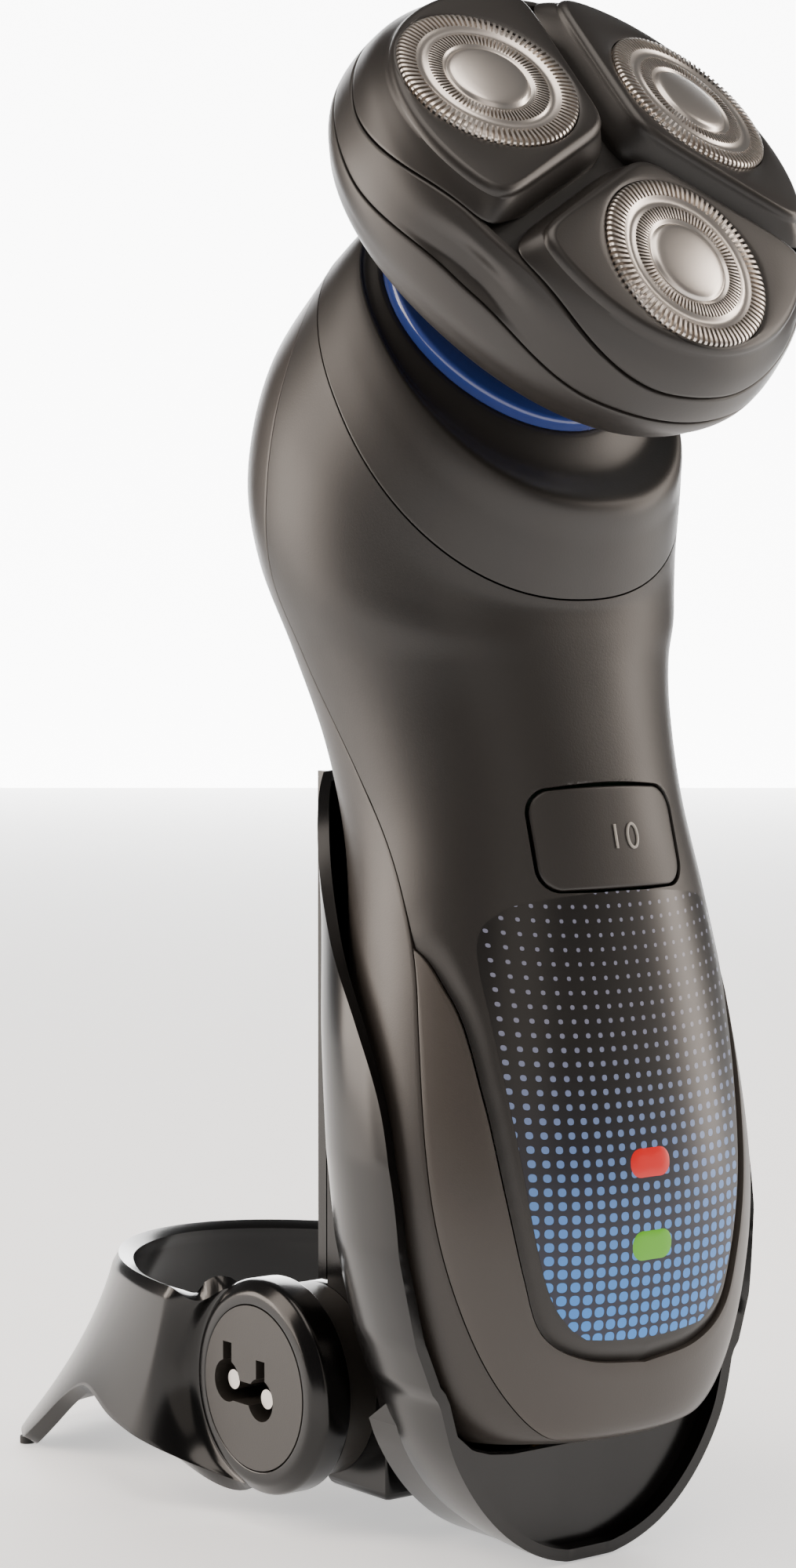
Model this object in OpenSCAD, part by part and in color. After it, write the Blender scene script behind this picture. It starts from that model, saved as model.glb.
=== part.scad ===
// Three-head rotary shaver standing in its folding mains charging stand.
// Millimetres, +Z up, front of the shaver towards -Y, origin under the middle of the whole object.

/* [Handle] */
// How far the docked handle leans back from upright, degrees
dock_lean = 10.5; // [8:0.5:13]
// Place of the handle's foot, front to back
handle_foot_y = -32; // [-35:0.5:-30]
// Height of the handle's foot above the ground
handle_foot_z = 14; // [12:0.5:18]
// Half-width of the handle at its lower swell
grip_half_w = 24.9; // [23:0.1:26]
// Half-width of the handle at its waist
waist_half_w = 20.3; // [18:0.1:22]
// Half-width of the neck at its widest
neck_half_w = 25.8; // [24:0.1:27]
// Wall of the moulded covers
cover_wall = 1.8; // [1.4:0.1:2.4]
// Gap left between neighbouring mouldings
seam_gap = 0.12; // [0.08:0.01:0.25]

/* [Button, window and lights] */
// Height of the button's middle along the handle
button_at = 65.8; // [64:0.1:67]
// Width of the button
button_w = 20.6; // [18:0.1:23]
// Height of the button
button_h = 11; // [9:0.1:12]
// Gap round the button
button_gap = 0.3; // [0.2:0.05:0.5]
// How far the button can be pressed
button_travel = 0.8; // [0.4:0.1:1.2]
// Half-width of the dotted window
window_half_w = 18.2; // [16:0.1:18.6]
// Lower end of the window along the handle
window_low = 11.5; // [11:0.1:14]
// Upper end of the window along the handle
window_high = 59; // [55:0.1:59]
// Thickness of the window
window_t = 1.1; // [0.8:0.1:1.4]
// Width of a light
light_w = 5.2; // [3:0.1:6]
// Height of a light
light_h = 3.8; // [3:0.1:5]
// Height of the charge light along the handle
charge_light_at = 20.8; // [18:0.1:22]
// Height of the low-battery light along the handle
low_light_at = 29.8; // [28:0.1:33]

/* [Head] */
// Tilt of the head's axis forward from the handle's axis, degrees
head_tilt = 62.3; // [60:0.1:64]
// Head centre ahead of the handle's axis
head_y = -21.5; // [-22:0.1:-21]
// Head centre along the handle
head_z = 134.3; // [134:0.1:136]
// Mean radius of the head's rounded triangle
head_r = 28.7; // [28.4:0.1:31]
// How far the three lobes stand out from the mean
lobe_out = 1; // [0.6:0.1:1.4]
// Radius of the circle the three shaving units stand on
unit_circle_r = 16.9; // [16.5:0.1:17.3]
// Outer radius of a slotted guard
guard_r = 10.5; // [10:0.1:10.8]
// Outward tilt of each shaving unit, degrees
unit_tilt = 9.2; // [7:0.1:11]
// Height of a unit's face above the head's main seam
unit_face_z = 11.8; // [11.4:0.1:12.4]
// Width of the gaps between the three units
unit_gap = 1.8; // [1.4:0.1:2.4]
// Gap between a unit's lower edge and the frame
unit_seam = 0.75; // [0.6:0.05:1]
// Teeth on the middle drive gear
drive_teeth = 20; // [20:1:22]
// Teeth on each unit's gear
unit_teeth = 16; // [14:1:16]

/* [Stand] */
// Place of the foot's hinge, front to back
hinge_y = 1; // [0:0.5:2]
// Height of the foot's hinge
hinge_z = 16.4; // [16:0.1:18]
// Half-width across the hinge
hinge_half_w = 22; // [21:0.1:24]
// Radius of the fixed barrel the foot turns on
barrel_r = 9.6; // [9:0.1:10]
// Radius of the foot's hinge rings
ring_r = 12.6; // [12.2:0.1:13.2]
// Running clearance of the foot on its barrel
barrel_clear = 0.06; // [0.03:0.01:0.1]
// Half-width of the spine behind the cradle
spine_half_w = 12.5; // [11:0.1:13.5]
// Height of the cradle's top edge
cradle_h = 88; // [84:0.5:92]
// Wall of the cradle
cradle_wall = 2.2; // [1.8:0.1:2.8]
// Gap between the docked handle and the cradle
dock_gap = 0.7; // [0.5:0.1:1]
// Wall of the foot's loop
foot_wall = 2; // [1.6:0.1:2.6]
// Half-width of the foot loop's upper rim
foot_half_w = 25; // [24.5:0.1:27]
// How far the loop reaches behind the hinge, at the ground
foot_reach = 64; // [56:0.5:66]
// Height of the foot loop's rim
foot_rim_z = 26.5; // [25:0.1:28]
// Distance between the two inlet pins
pin_pitch = 6.6; // [6:0.1:7]
// Radius of an inlet pin
pin_r = 1.15; // [1:0.05:1.3]

/* [Hidden] */
$fn = 64;
far = 200;
ring_points = 40;

soft_black = [0.20, 0.18, 0.17];
side_black = [0.26, 0.24, 0.22];
trim_grey = [0.33, 0.31, 0.29];
gloss_black = [0.08, 0.08, 0.08];
ring_blue = [0.22, 0.32, 0.62];
steel = [0.72, 0.70, 0.68];

// ---------- smooth curves and skins ----------

// The row of keys that station s falls after
function key_row(k, s, i = 0) = (i >= len(k) - 2 || s <= k[i + 1][0]) ? i : key_row(k, s, i + 1);

// Slope of column c at row i
function key_slope(k, i, c) =
    let (lo = max(i - 1, 0), hi = min(i + 1, len(k) - 1))
    (k[hi][c] - k[lo][c]) / (k[hi][0] - k[lo][0]);

// Value of column c at station s, on a smooth curve through the rows of keys
function along(k, s, c) =
    let (i = key_row(k, s), w = k[i + 1][0] - k[i][0], t = (s - k[i][0]) / w)
    k[i][c] * (2 * t - 3) * t * t + k[i][c] + k[i + 1][c] * (3 - 2 * t) * t * t
    + w * key_slope(k, i, c) * t * (1 - t) * (1 - t) - w * key_slope(k, i + 1, c) * t * t * (1 - t);

function signed_power(v, p) = sign(v) * pow(abs(v), p);

// Closed solid through a list of rings with equal numbers of points
module skin(rings) {
    n = len(rings[0]);
    m = len(rings);
    polyhedron(
        points = [for (r = rings) for (p = r) p],
        faces = concat(
            [[for (i = [0 : n - 1]) i]],
            [[for (i = [n - 1 : -1 : 0]) (m - 1) * n + i]],
            [for (j = [0 : m - 2]) for (i = [0 : n - 1])
                [j * n + i, (j + 1) * n + i, (j + 1) * n + (i + 1) % n]],
            [for (j = [0 : m - 2]) for (i = [0 : n - 1])
                [j * n + i, (j + 1) * n + (i + 1) % n, j * n + (i + 1) % n]]),
        convexity = 10);
}

// A free-form moulding with no bores, kept at its own size and carved as one surface
module moulding() resize([0, 0, 0]) children();

// ---------- handle ----------
// Handle frame: Z along the handle from its foot, front towards -Y.

module in_handle() {
    translate([0, handle_foot_y, handle_foot_z]) rotate([-dock_lean, 0, 0]) children();
}

// Rings of the handle: station, front point (y, z), rear point (y, z), half-width.
// From the neck on, the rings turn to face the way the head does.
handle_keys = [
    [0, -7.5, 0, 8, 1, 10],
    [1, -9.6, 1.2, 11, 2, 15.5],
    [2, -11.4, 6, 13.5, 6, grip_half_w - 4.9],
    [3, -14, 14, 15.5, 13, grip_half_w - 1.9],
    [4, -16.2, 24, 16, 23, grip_half_w - 0.1],
    [5, -17.2, 34, 16, 33, grip_half_w],
    [6, -17.7, 47, 15.7, 46, (grip_half_w * 0.7 + waist_half_w * 0.3)],
    [7, -17.6, 60, 15.6, 58, waist_half_w + 1.4],
    [8, -17, 71, 15.8, 69, waist_half_w],
    [9, -16.3, 80, 16.8, 81, waist_half_w + 0.6],
    [10, -16.1, 85, 19.6, 94, neck_half_w - 3.2],
    [11, -16, 87.8, 21.8, 107, neck_half_w - 0.8],
    [12, -15.9, 89.8, 21, 119, neck_half_w],
    [13, -15.9, 91.2, 14.5, 131, neck_half_w - 0.5],
    [14, -16.2, 92.4, 3, 139.5, neck_half_w - 2.3],
];
neck_top = 14;

// A point of the side profile: the front (sense -1) or the rear (sense +1) of the ring at t
function profile(t, sense) = sense < 0
    ? [along(handle_keys, t, 1), along(handle_keys, t, 2)]
    : [along(handle_keys, t, 3), along(handle_keys, t, 4)];

// Ring through a front point f and a rear point r, each (y, z), with half-width w, moved in by inset
function side_ring(f, r, w, inset, power = 0.9) =
    let (mid = (f + r) / 2, half = (r - f) / 2, k = 1 - inset / norm(half))
    [for (i = [0 : ring_points - 1])
        let (a = 360 * (i + 0.5) / ring_points, s = signed_power(sin(a), power) * k)
        [(w - inset) * signed_power(cos(a), power), mid[0] + half[0] * s, mid[1] + half[1] * s]];

function handle_ring(t, inset) = side_ring(profile(t, -1), profile(t, 1), along(handle_keys, t, 5), inset);

// The handle's whole form up to the collar seam, moved in by inset, from station t0 to t1
module handle_form(inset = 0, t0 = 0, t1 = neck_top, steps = 20) {
    skin([for (i = [0 : steps]) handle_ring(t0 + (t1 - t0) * i / steps, inset)]);
}

// Where the front and rear covers part: y at each height along the handle
split_keys = [[-10, -7], [50, -7], [62, -5], [76, 1], [88, 6], [98, 7.5], [110, 5], [125, 2], [160, 0]];

function split_line(dy) = [for (s = [-10 : 8.5 : 160]) [along(split_keys, s, 1) + dy, s]];

// Everything in front of the parting line, shifted back by dy
module before_split(dy = 0) {
    rotate([90, 0, 90]) linear_extrude(height = far, center = true)
        polygon(concat([[-far, -10], [-far, 160]], [for (i = [20 : -1 : 0]) split_line(dy)[i]]));
}

// A slab-sided prism over a drawn front outline, from in front of the handle back to y = back
module through_front(back = 2) {
    translate([0, back, 0]) rotate([90, 0, 0]) linear_extrude(height = 60) children();
}

// Outline of the front panel inside the grey trim, seen from the front
panel_keys = [[0, 8, 0], [1, 9.2, 8], [2, 12.5, 13.4], [3, 19, 15.8], [4, 28, 17.6], [5, 38.6, 18.8],
    [6, 50, 20.2], [7, 60, 24], [8, 70, 40]];

module panel_outline(grow = 0) {
    right = [for (t = [0 : 0.5 : 8])
        [along(panel_keys, t, 2) + (t > 0 ? grow : 0), along(panel_keys, t, 1) - grow]];
    left = [for (i = [len(right) - 1 : -1 : 1]) [-right[i][0], right[i][1]]];
    polygon(concat(right, [[40, 200], [-40, 200]], left));
}

// Outline of the dotted window: half-widths at shares of its height
window_keys = [[0, 0.46], [0.03, 0.57], [0.1, 0.7], [0.25, 0.81],
    [0.5, 0.89], [0.75, 0.95], [0.92, 0.98], [1, 0.9]];

module window_outline(grow = 0) {
    right = [for (u = [0, 0.03, 0.1, 0.25, 0.5, 0.75, 0.92, 1])
        [along(window_keys, u, 1) * window_half_w + grow,
            window_low + (window_high - window_low) * u + (u == 0 ? -grow : u == 1 ? grow : 0)]];
    polygon(concat(right, [for (i = [len(right) - 1 : -1 : 0]) [-right[i][0], right[i][1]]]));
}

module button_outline(grow = 0) {
    corner = 2.2;
    translate([0, button_at]) hull() for (sx = [-1, 1], sz = [-1, 1])
        translate([sx * (button_w / 2 - corner - (sz < 0 ? 0.6 : 0)), sz * (button_h / 2 - corner)])
            circle(corner + grow, $fn = 32);
}

module light_outline(at, grow = 0) {
    translate([0, at]) hull() for (sx = [-1, 1])
        translate([sx * (light_w - light_h) / 2, 0]) circle(light_h / 2 + grow, $fn = 32);
}

module handle_shell() {
    difference() {
        handle_form();
        handle_form(cover_wall, 0.8, neck_top + 0.001);
    }
}

module front_cover() color(soft_black) in_handle() moulding() difference() {
    intersection() {
        handle_shell();
        before_split(-seam_gap / 2);
        through_front(9) panel_outline(-seam_gap / 2);
    }
    through_front() button_outline(button_gap);
    intersection() {
        difference() {
            handle_form(-1);
            handle_form(window_t + seam_gap);
        }
        through_front() window_outline(seam_gap);
    }
    through_front() light_outline(charge_light_at, seam_gap);
    through_front() light_outline(low_light_at, seam_gap);
}

module trim_frame() color(trim_grey) in_handle() moulding() difference() {
    intersection() {
        handle_shell();
        before_split(-seam_gap / 2);
    }
    through_front(9) panel_outline(seam_gap / 2);
}

module rear_cover() color(side_black) in_handle() moulding() difference() {
    handle_shell();
    before_split(seam_gap / 2);
    for (sx = [-1, 1]) translate([sx * socket_x, socket_y, -5]) cylinder(r = socket_r + seam_gap, h = 12);
}

module display_window() color([0.12, 0.16, 0.22]) in_handle() moulding() difference() {
    intersection() {
        difference() {
            handle_form(0.05);
            handle_form(window_t);
        }
        through_front() window_outline();
    }
    through_front() light_outline(charge_light_at, seam_gap);
    through_front() light_outline(low_light_at, seam_gap);
}

module light(at) in_handle() moulding() intersection() {
    difference() {
        handle_form(-0.15);
        handle_form(cover_wall);
    }
    through_front() light_outline(at);
}

module charge_light() color([0.35, 0.75, 0.2]) light(charge_light_at);

module low_light() color([0.9, 0.12, 0.08]) light(low_light_at);

module power_button() color(soft_black) in_handle() moulding() intersection() {
    difference() {
        handle_form(0.1);
        handle_form(cover_wall + 0.4);
    }
    through_front() button_outline();
}

switch_face_y = -17.5 + cover_wall + 0.4 + button_travel + 0.4;

module button_switch() color([0.1, 0.1, 0.1]) in_handle()
    translate([-3, switch_face_y, button_at - 3]) cube([6, board_y - switch_face_y, 6]);

// ---------- inside the handle ----------

board_y = -9;
board_t = 1.6;
battery_r = 7.2;
battery_y = 3.4;
battery_low = 14;
battery_len = 50;

module circuit_board() color([0.1, 0.35, 0.2]) in_handle()
    translate([-13, board_y, 12]) cube([26, board_t, 66]);

module battery_cell() color([0.25, 0.45, 0.6]) in_handle() translate([0, battery_y, battery_low]) {
    cylinder(r = battery_r, h = battery_len);
    translate([0, 0, battery_len]) cylinder(r = 2.6, h = 1.2);
}

module chassis() color([0.85, 0.85, 0.82]) in_handle() difference() {
    translate([-14, board_y + board_t + 0.1, 10]) cube([28, battery_y - board_y - board_t + 3, 68]);
    translate([0, battery_y, battery_low - 0.3]) cylinder(r = battery_r + 0.2, h = battery_len + 2);
    translate([-9, board_y + board_t - 1, 66]) cube([18, 30, 14]);
}

socket_x = 4;
socket_y = 4;
socket_r = 2;

module charge_sockets() color([0.75, 0.65, 0.35]) in_handle() for (sx = [-1, 1])
    translate([sx * socket_x, socket_y, 1.6]) difference() {
        cylinder(r = socket_r, h = 5);
        translate([0, 0, -1]) cylinder(r = socket_r - 0.6, h = 4.5);
    }

screw_r = 1.1;

module cover_screws() color(steel) in_handle() for (sx = [-1, 1], s = [24, 58])
    translate([sx * 15.3, 1, s]) rotate([-90, 0, 0]) cylinder(r = screw_r, h = 5);

// ---------- neck ----------
// Head frame: Z along the head's axis outward, the front unit towards -Y, Z = 0 at the head's main seam.

module in_head() {
    in_handle() translate([0, head_y, head_z]) rotate([head_tilt, 0, 0]) children();
}

// A head-frame (y, z) pair given in the handle frame
function head_to_handle(p) = [
    head_y + p[0] * cos(head_tilt) - p[1] * sin(head_tilt),
    head_z + p[0] * sin(head_tilt) + p[1] * cos(head_tilt)];

ring_r_out = 16.6;
ring_shift = -2;
ring_top_z = -12.4;
ring_floor_z = -14.2;
ring_r_in = 13;
shaft_r = 1;
motor_r = 8.6;
motor_top_z = -17.6;
motor_len = 19;
pivot_z = -9.5;

// Rings of the collar: station, front (y, z), rear (y, z), half-width; the last is the blue ring's seat
bowl_front = head_to_handle([ring_shift - ring_r_out - 0.4, ring_floor_z]);
bowl_rear = head_to_handle([ring_shift + ring_r_out + 0.4, ring_floor_z]);
collar_keys = [
    [0, profile(neck_top, -1)[0], profile(neck_top, -1)[1],
        profile(neck_top, 1)[0], profile(neck_top, 1)[1], neck_half_w - 2.3],
    [1, -19.4, 98, 0.6, 141, neck_half_w - 4],
    [2, -21.6, 102.2, -1, 142, neck_half_w - 5.8],
    [3, bowl_front[0] - 0.6, bowl_front[1] - 4.4, bowl_rear[0] + 0.8, bowl_rear[1] + 0.6, ring_r_out + 2],
    [4, bowl_front[0], bowl_front[1], bowl_rear[0], bowl_rear[1], ring_r_out + 0.4],
];

function collar_ring(t, inset) =
    side_ring([along(collar_keys, t, 1), along(collar_keys, t, 2)],
        [along(collar_keys, t, 3), along(collar_keys, t, 4)],
        along(collar_keys, t, 5), inset);

module neck_collar() color(side_black) moulding() difference() {
    in_handle() skin([for (i = [0 : 12]) collar_ring(i / 3, 0)]);
    in_handle() skin([for (i = [0 : 6]) collar_ring(-0.001 + i * 0.2, cover_wall)]);
    in_head() translate([0, 0, motor_top_z - 5]) cylinder(r = neck_post_r + 0.05, h = 20);
}

neck_post_r = 5.4;

module neck_ring() color(ring_blue) in_head() difference() {
    translate([0, ring_shift, ring_floor_z + 0.05]) cylinder(r = ring_r_out, h = ring_top_z - ring_floor_z);
    translate([0, 0, ring_floor_z - 1]) cylinder(r = ring_r_in, h = 5);
}

gimbal_pin_r = 0.9;
gimbal_clear = 0.05;
gimbal_in_r = 6.2;
gimbal_out_r = 9;
gimbal_h = 3.4;
gimbal_gap = 0.5;

// Stem on the handle that carries the head, with two pins across
module neck_post() color([0.3, 0.3, 0.3]) in_head() difference() {
    union() {
        translate([0, 0, motor_top_z + 0.1]) cylinder(r = neck_post_r, h = pivot_z + 1.6 - motor_top_z);
        translate([0, 0, pivot_z]) rotate([0, 90, 0])
            cylinder(r = gimbal_pin_r, h = 2 * (gimbal_out_r - 0.2), center = true);
    }
    translate([0, 0, motor_top_z - 1]) cylinder(r = 3, h = 30);
}

module motor() color([0.6, 0.6, 0.62]) in_head() difference() {
    translate([0, 0, motor_top_z - motor_len]) union() {
        cylinder(r = motor_r, h = motor_len - 1.5);
        cylinder(r = 2.9, h = motor_len);
    }
    translate([0, 0, motor_top_z - 5]) cylinder(r = shaft_r + gimbal_clear, h = 10);
}

finger_r = 1.5;
finger_z = -4.6;

module motor_shaft() color(steel) in_head() {
    translate([0, 0, motor_top_z - 4.8]) cylinder(r = shaft_r, h = finger_z + 1 - motor_top_z + 4.8);
    translate([0, 0, finger_z]) sphere(finger_r);
}

module gimbal_ring() color([0.5, 0.5, 0.52]) in_head() translate([0, 0, pivot_z]) {
    difference() {
        cylinder(r = gimbal_out_r, h = gimbal_h, center = true);
        cylinder(r = gimbal_in_r, h = gimbal_h + 1, center = true);
        rotate([0, 90, 0]) cylinder(r = gimbal_pin_r + gimbal_clear, h = 40, center = true);
    }
    for (a = [90, 270]) rotate([0, 0, a]) translate([gimbal_out_r - 0.5, 0, 0]) rotate([0, 90, 0])
        cylinder(r = gimbal_pin_r, h = 3);
}

// ---------- head ----------

base_low_z = -7.6;
base_low_r = 20;
base_well_r = 13.4;
seam_z = 0;
frame_top_z = 4.2;

// Radius of the head's outline towards angle a, for a mean radius r
function lobed(r, a) = r + lobe_out * cos(3 * (a - 270)) * r / head_r;

function head_ring(r, z, n = 48) = [for (i = [0 : n - 1])
    let (a = 360 * i / n) [lobed(r, a) * cos(a), lobed(r, a) * sin(a), z]];

// Rings of the head's outer form: station, mean radius, height
head_keys = [
    [0, base_low_r, base_low_z],
    [1, base_low_r + 5, base_low_z + 1.8],
    [2, head_r - 1, -2.6],
    [3, head_r, seam_z],
    [4, head_r - 0.2, frame_top_z],
    [5, head_r - 1.2, 7.6],
    [6, head_r - 4.2, 11.2],
    [7, head_r - 10, 13.6],
    [8, 8, 15.2],
];

module head_form(t0, t1, inset = 0, steps = 10) {
    skin([for (i = [0 : steps]) let (t = t0 + (t1 - t0) * i / steps)
        head_ring(along(head_keys, t, 1) - inset, along(head_keys, t, 2))]);
}

// Slab with the head's outline, mean radius r, between two heights
module lobed_slab(r, z0, z1) skin([head_ring(r, z0), head_ring(r, z1)]);

gear_floor_z = -4;
gear_z = -3.4;
gear_t = 2.6;
plate_z = seam_z + 0.05;
plate_t = 1.2;
pocket_wall = 3.8;

// Hair pocket: the cup under the units, with a well for the gimbal
module head_base() color(soft_black) in_head() {
    moulding() difference() {
        head_form(0, 3 - 0.001, 0, 8);
        difference() {
            lobed_slab(head_r - pocket_wall, gear_floor_z, 10);
            translate([0, 0, -10]) cylinder(r = 3.2, h = gear_floor_z + 11.2 - 0.8);
        }
        translate([0, 0, base_low_z - 1]) cylinder(r = base_well_r, h = gear_floor_z - 1.4 - base_low_z + 1);
        translate([0, 0, -10]) cylinder(r = 2.9, h = 20);
    }
    for (a = [90, 270]) rotate([0, 0, a]) difference() {
        translate([gimbal_out_r + gimbal_gap, -2.4, pivot_z - 2])
            cube([2.2, 4.8, gear_floor_z - 1.4 - pivot_z + 2.2]);
        translate([0, 0, pivot_z]) rotate([0, 90, 0]) cylinder(r = gimbal_pin_r + gimbal_clear, h = 20);
    }
}

module gear_plate() color([0.75, 0.75, 0.72]) in_head() difference() {
    lobed_slab(head_r - pocket_wall + 1, plate_z, plate_z + plate_t);
    translate([0, 0, plate_z - 1]) cylinder(r = drive_hub_r + 0.06, h = 5);
    for (a = unit_angles) rotate([0, 0, a]) translate([unit_circle_r, 0, plate_z - 1])
        cylinder(r = spindle_r + 0.06, h = 5);
}

unit_angles = [270, 150, 30];
gear_module = 2 * unit_circle_r / (drive_teeth + unit_teeth);
drive_hub_r = 3.4;
spindle_r = 2;

// Spur gear of n teeth with involute flanks; the backlash is shared by both gears
module gear_blank(n) {
    rp = gear_module * n / 2;
    rb = rp * cos(20);
    ra = rp + 0.85 * gear_module;
    rf = rp - 1.1 * gear_module;
    half = 90 / n - 0.5 * 180 / PI * 0.14 / rp;
    function inv(r) = let (f = acos(min(1, rb / r))) tan(f) * 180 / PI - f;
    r_start = max(rb, rf + 0.1);
    flank = [for (i = [0 : 4]) let (r = r_start + (ra - r_start) * i / 4) [r, half + inv(rp) - inv(r)]];
    function polar(r, a) = [r * cos(a), r * sin(a)];
    linear_extrude(height = gear_t) polygon([for (k = [0 : n - 1]) each concat(
        [polar(rf, 360 * k / n - flank[0][1] - 0.8)],
        [for (p = flank) polar(p[0], 360 * k / n - p[1])],
        [for (i = [4 : -1 : 0]) polar(flank[i][0], 360 * k / n + flank[i][1])],
        [polar(rf, 360 * k / n + flank[0][1] + 0.8)])]);
}

module drive_gear() color([0.9, 0.88, 0.8]) in_head() difference() {
    union() {
        rotate([0, 0, unit_angles[0]]) translate([0, 0, gear_z]) gear_blank(drive_teeth);
        translate([0, 0, gear_z]) cylinder(r = drive_hub_r, h = plate_z + plate_t + 0.6 - gear_z);
    }
    translate([0, 0, gear_z - 6]) cylinder(r = finger_r + 1.0, h = 8.4);
}

// One unit's gear and the spindle that turns its cutter
module unit_gear(a) color([0.9, 0.88, 0.8]) in_head() rotate([0, 0, a]) translate([unit_circle_r, 0, 0]) {
    rotate([0, 0, 180]) translate([0, 0, gear_z]) rotate([0, 0, mesh_phase(a)]) gear_blank(unit_teeth);
    translate([0, 0, gear_floor_z + 0.1]) cylinder(r = spindle_r, h = spindle_top_z - gear_floor_z - 0.1);
}

spindle_top_z = 7.4;

// Turn of a unit gear that puts a tooth of the drive gear, or a gap, opposite its own
function mesh_phase(a) =
    let (drive_turn = (a - unit_angles[0]) * drive_teeth / 360, off = drive_turn - floor(drive_turn))
    180 / unit_teeth + off * 360 / unit_teeth;

module gear_front() unit_gear(unit_angles[0]);
module gear_left() unit_gear(unit_angles[1]);
module gear_right() unit_gear(unit_angles[2]);

web_t = 0.8;
web_top_z = 9.6;

// Frame that carries the three units on three webs and lifts off the hair pocket
module head_frame() color(soft_black) in_head() moulding() difference() {
    union() {
        difference() {
            head_form(3 + 0.04, 4, 0, 3);
            head_form(2.9, 4.2, 2.4, 3);
        }
        intersection() {
            head_form(3 + 0.3, 7.2, 1.6, 8);
            for (a = [90, 210, 330]) rotate([0, 0, a]) translate([0, -web_t / 2, plate_z + plate_t + 1.4])
                cube([head_r, web_t, web_top_z]);
        }
    }
    for (a = [90, 210, 330]) rotate([0, 0, a]) translate([head_r - 1, 0, frame_top_z + 0.8])
        rotate([0, 90, 0]) cylinder(r = 2.2, h = 6, center = true);
}

// Placing in one unit's own frame: Z along its tilted axis, Z = 0 at its face
module at_unit(a) {
    in_head() rotate([0, 0, a - 270]) translate([0, -unit_circle_r, unit_face_z])
        rotate([unit_tilt, 0, 0]) children();
}

// Plan of one unit: a third of the head, less half the gaps
module unit_wedge(a, grow = 0) {
    side = (unit_gap / 2 - grow) / sin(60);
    in_head() rotate([0, 0, a]) translate([side, 0, 0]) linear_extrude(height = 40, center = true)
        polygon([[0, 0], [40 * cos(60), 40 * sin(60)], [60, 40], [60, -40], [40 * cos(60), -40 * sin(60)]]);
}

module pod(a) color(soft_black) difference() {
    intersection() {
        union() {
            in_head() head_form(4 + unit_seam / 3.6, 8, 0, 8);
        }
        unit_wedge(a);
        at_unit(a) translate([-30, -30, -20]) cube([60, 60, 20]);
    }
    at_unit(a) translate([0, 0, -30]) cylinder(r = guard_r - 0.5, h = 40);
    at_unit(a) translate([0, 0, -0.9]) cylinder(r = guard_r + 0.1, h = 3);
}

module pod_front() pod(unit_angles[0]);
module pod_left() pod(unit_angles[1]);
module pod_right() pod(unit_angles[2]);

guard_skirt = 2.4;

// Slotted guard: a thin cap whose skirt drops into the unit, ribbed by two rings with a domed middle
module guard(a) color(steel) at_unit(a) rotate_extrude() polygon([
    [0, 1.5], [guard_r * 0.24, 1.35], [guard_r * 0.42, 0.9], [guard_r * 0.46, 0.4], [guard_r * 0.5, 0.75],
    [guard_r * 0.66, 0.75], [guard_r * 0.69, 0.5], [guard_r * 0.74, 0.5], [guard_r * 0.77, 0.8],
    [guard_r - 0.4, 0.8], [guard_r, 0.4], [guard_r, -0.8], [guard_r - 0.65, -0.8],
    [guard_r - 0.65, -guard_skirt], [guard_r - 1.2, -guard_skirt], [guard_r - 1.2, 0.2], [0, 0.2]]);

module guard_front() guard(unit_angles[0]);
module guard_left() guard(unit_angles[1]);
module guard_right() guard(unit_angles[2]);

cutter_r = guard_r - 1.9;
cutter_blades = 9;

// Cutter: a hub that drops over the spindle and a ring of upright blades
module cutter(a) color([0.8, 0.8, 0.8]) at_unit(a) difference() {
    union() {
        translate([0, 0, -3.2]) cylinder(r = cutter_r - 1.4, h = 1);
        translate([0, 0, -5.6]) cylinder(r = spindle_r + 2.8, h = 3);
        for (k = [0 : cutter_blades - 1]) rotate([0, 0, 360 * k / cutter_blades])
            translate([cutter_r - 3.4, -0.4, -2.4]) cube([3, 0.8, 2.3]);
    }
    translate([0, 0, -8]) cylinder(r = spindle_r + 1.4, h = 5);
}

module cutter_front() cutter(unit_angles[0]);
module cutter_left() cutter(unit_angles[1]);
module cutter_right() cutter(unit_angles[2]);

// Clip that holds the guard and cutter up in their unit
module retainer(a) color([0.25, 0.25, 0.27]) at_unit(a) difference() {
    translate([0, 0, -4]) cylinder(r = guard_r - 0.55, h = 4 - guard_skirt - 0.05);
    translate([0, 0, -6]) cylinder(r = guard_r - 2.4, h = 8);
}

module retainer_front() retainer(unit_angles[0]);
module retainer_left() retainer(unit_angles[1]);
module retainer_right() retainer(unit_angles[2]);

// ---------- stand ----------

// Rings of the cradle: height, middle y, half-width, half-depth
cradle_keys = [
    [0, -33, 3.6, 3],
    [1.6, -33, 9, 9],
    [4, -33, 12.4, 16],
    [7, -32.6, 15.2, 21],
    [12, -32, 18.4, 23.4],
    [22, -31, 22.2, 23.4],
    [34, -28.5, 25, 21.2],
    [48, -25.6, 26.2, 19.2],
    [60, -23.2, 25.4, 18.6],
    [74, -20.6, 23.2, 18.6],
    [88, -17.8, 23, 18.8],
    [100, -15, 24, 19],
];

function cradle_ring(z, inset) = [for (i = [0 : ring_points - 1])
    let (a = 360 * (i + 0.5) / ring_points)
    [(along(cradle_keys, z, 2) - inset) * signed_power(cos(a), 0.9),
        along(cradle_keys, z, 1) + (along(cradle_keys, z, 3) - inset) * signed_power(sin(a), 0.9), z]];

cradle_steps = [0, 0.8, 1.6, 3, 5, 8, 12, 17, 24, 32, 40, 48, 56, 64, 72, 80, 90, 96];

module cradle_form(inset = 0) {
    skin([for (z = cradle_steps) cradle_ring(z, min(inset, 0.7 * along(cradle_keys, z, 3)))]);
}

// Direction in which the handle is lifted out of the cradle
lift_way = [0, -0.6, 0.8];

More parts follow.
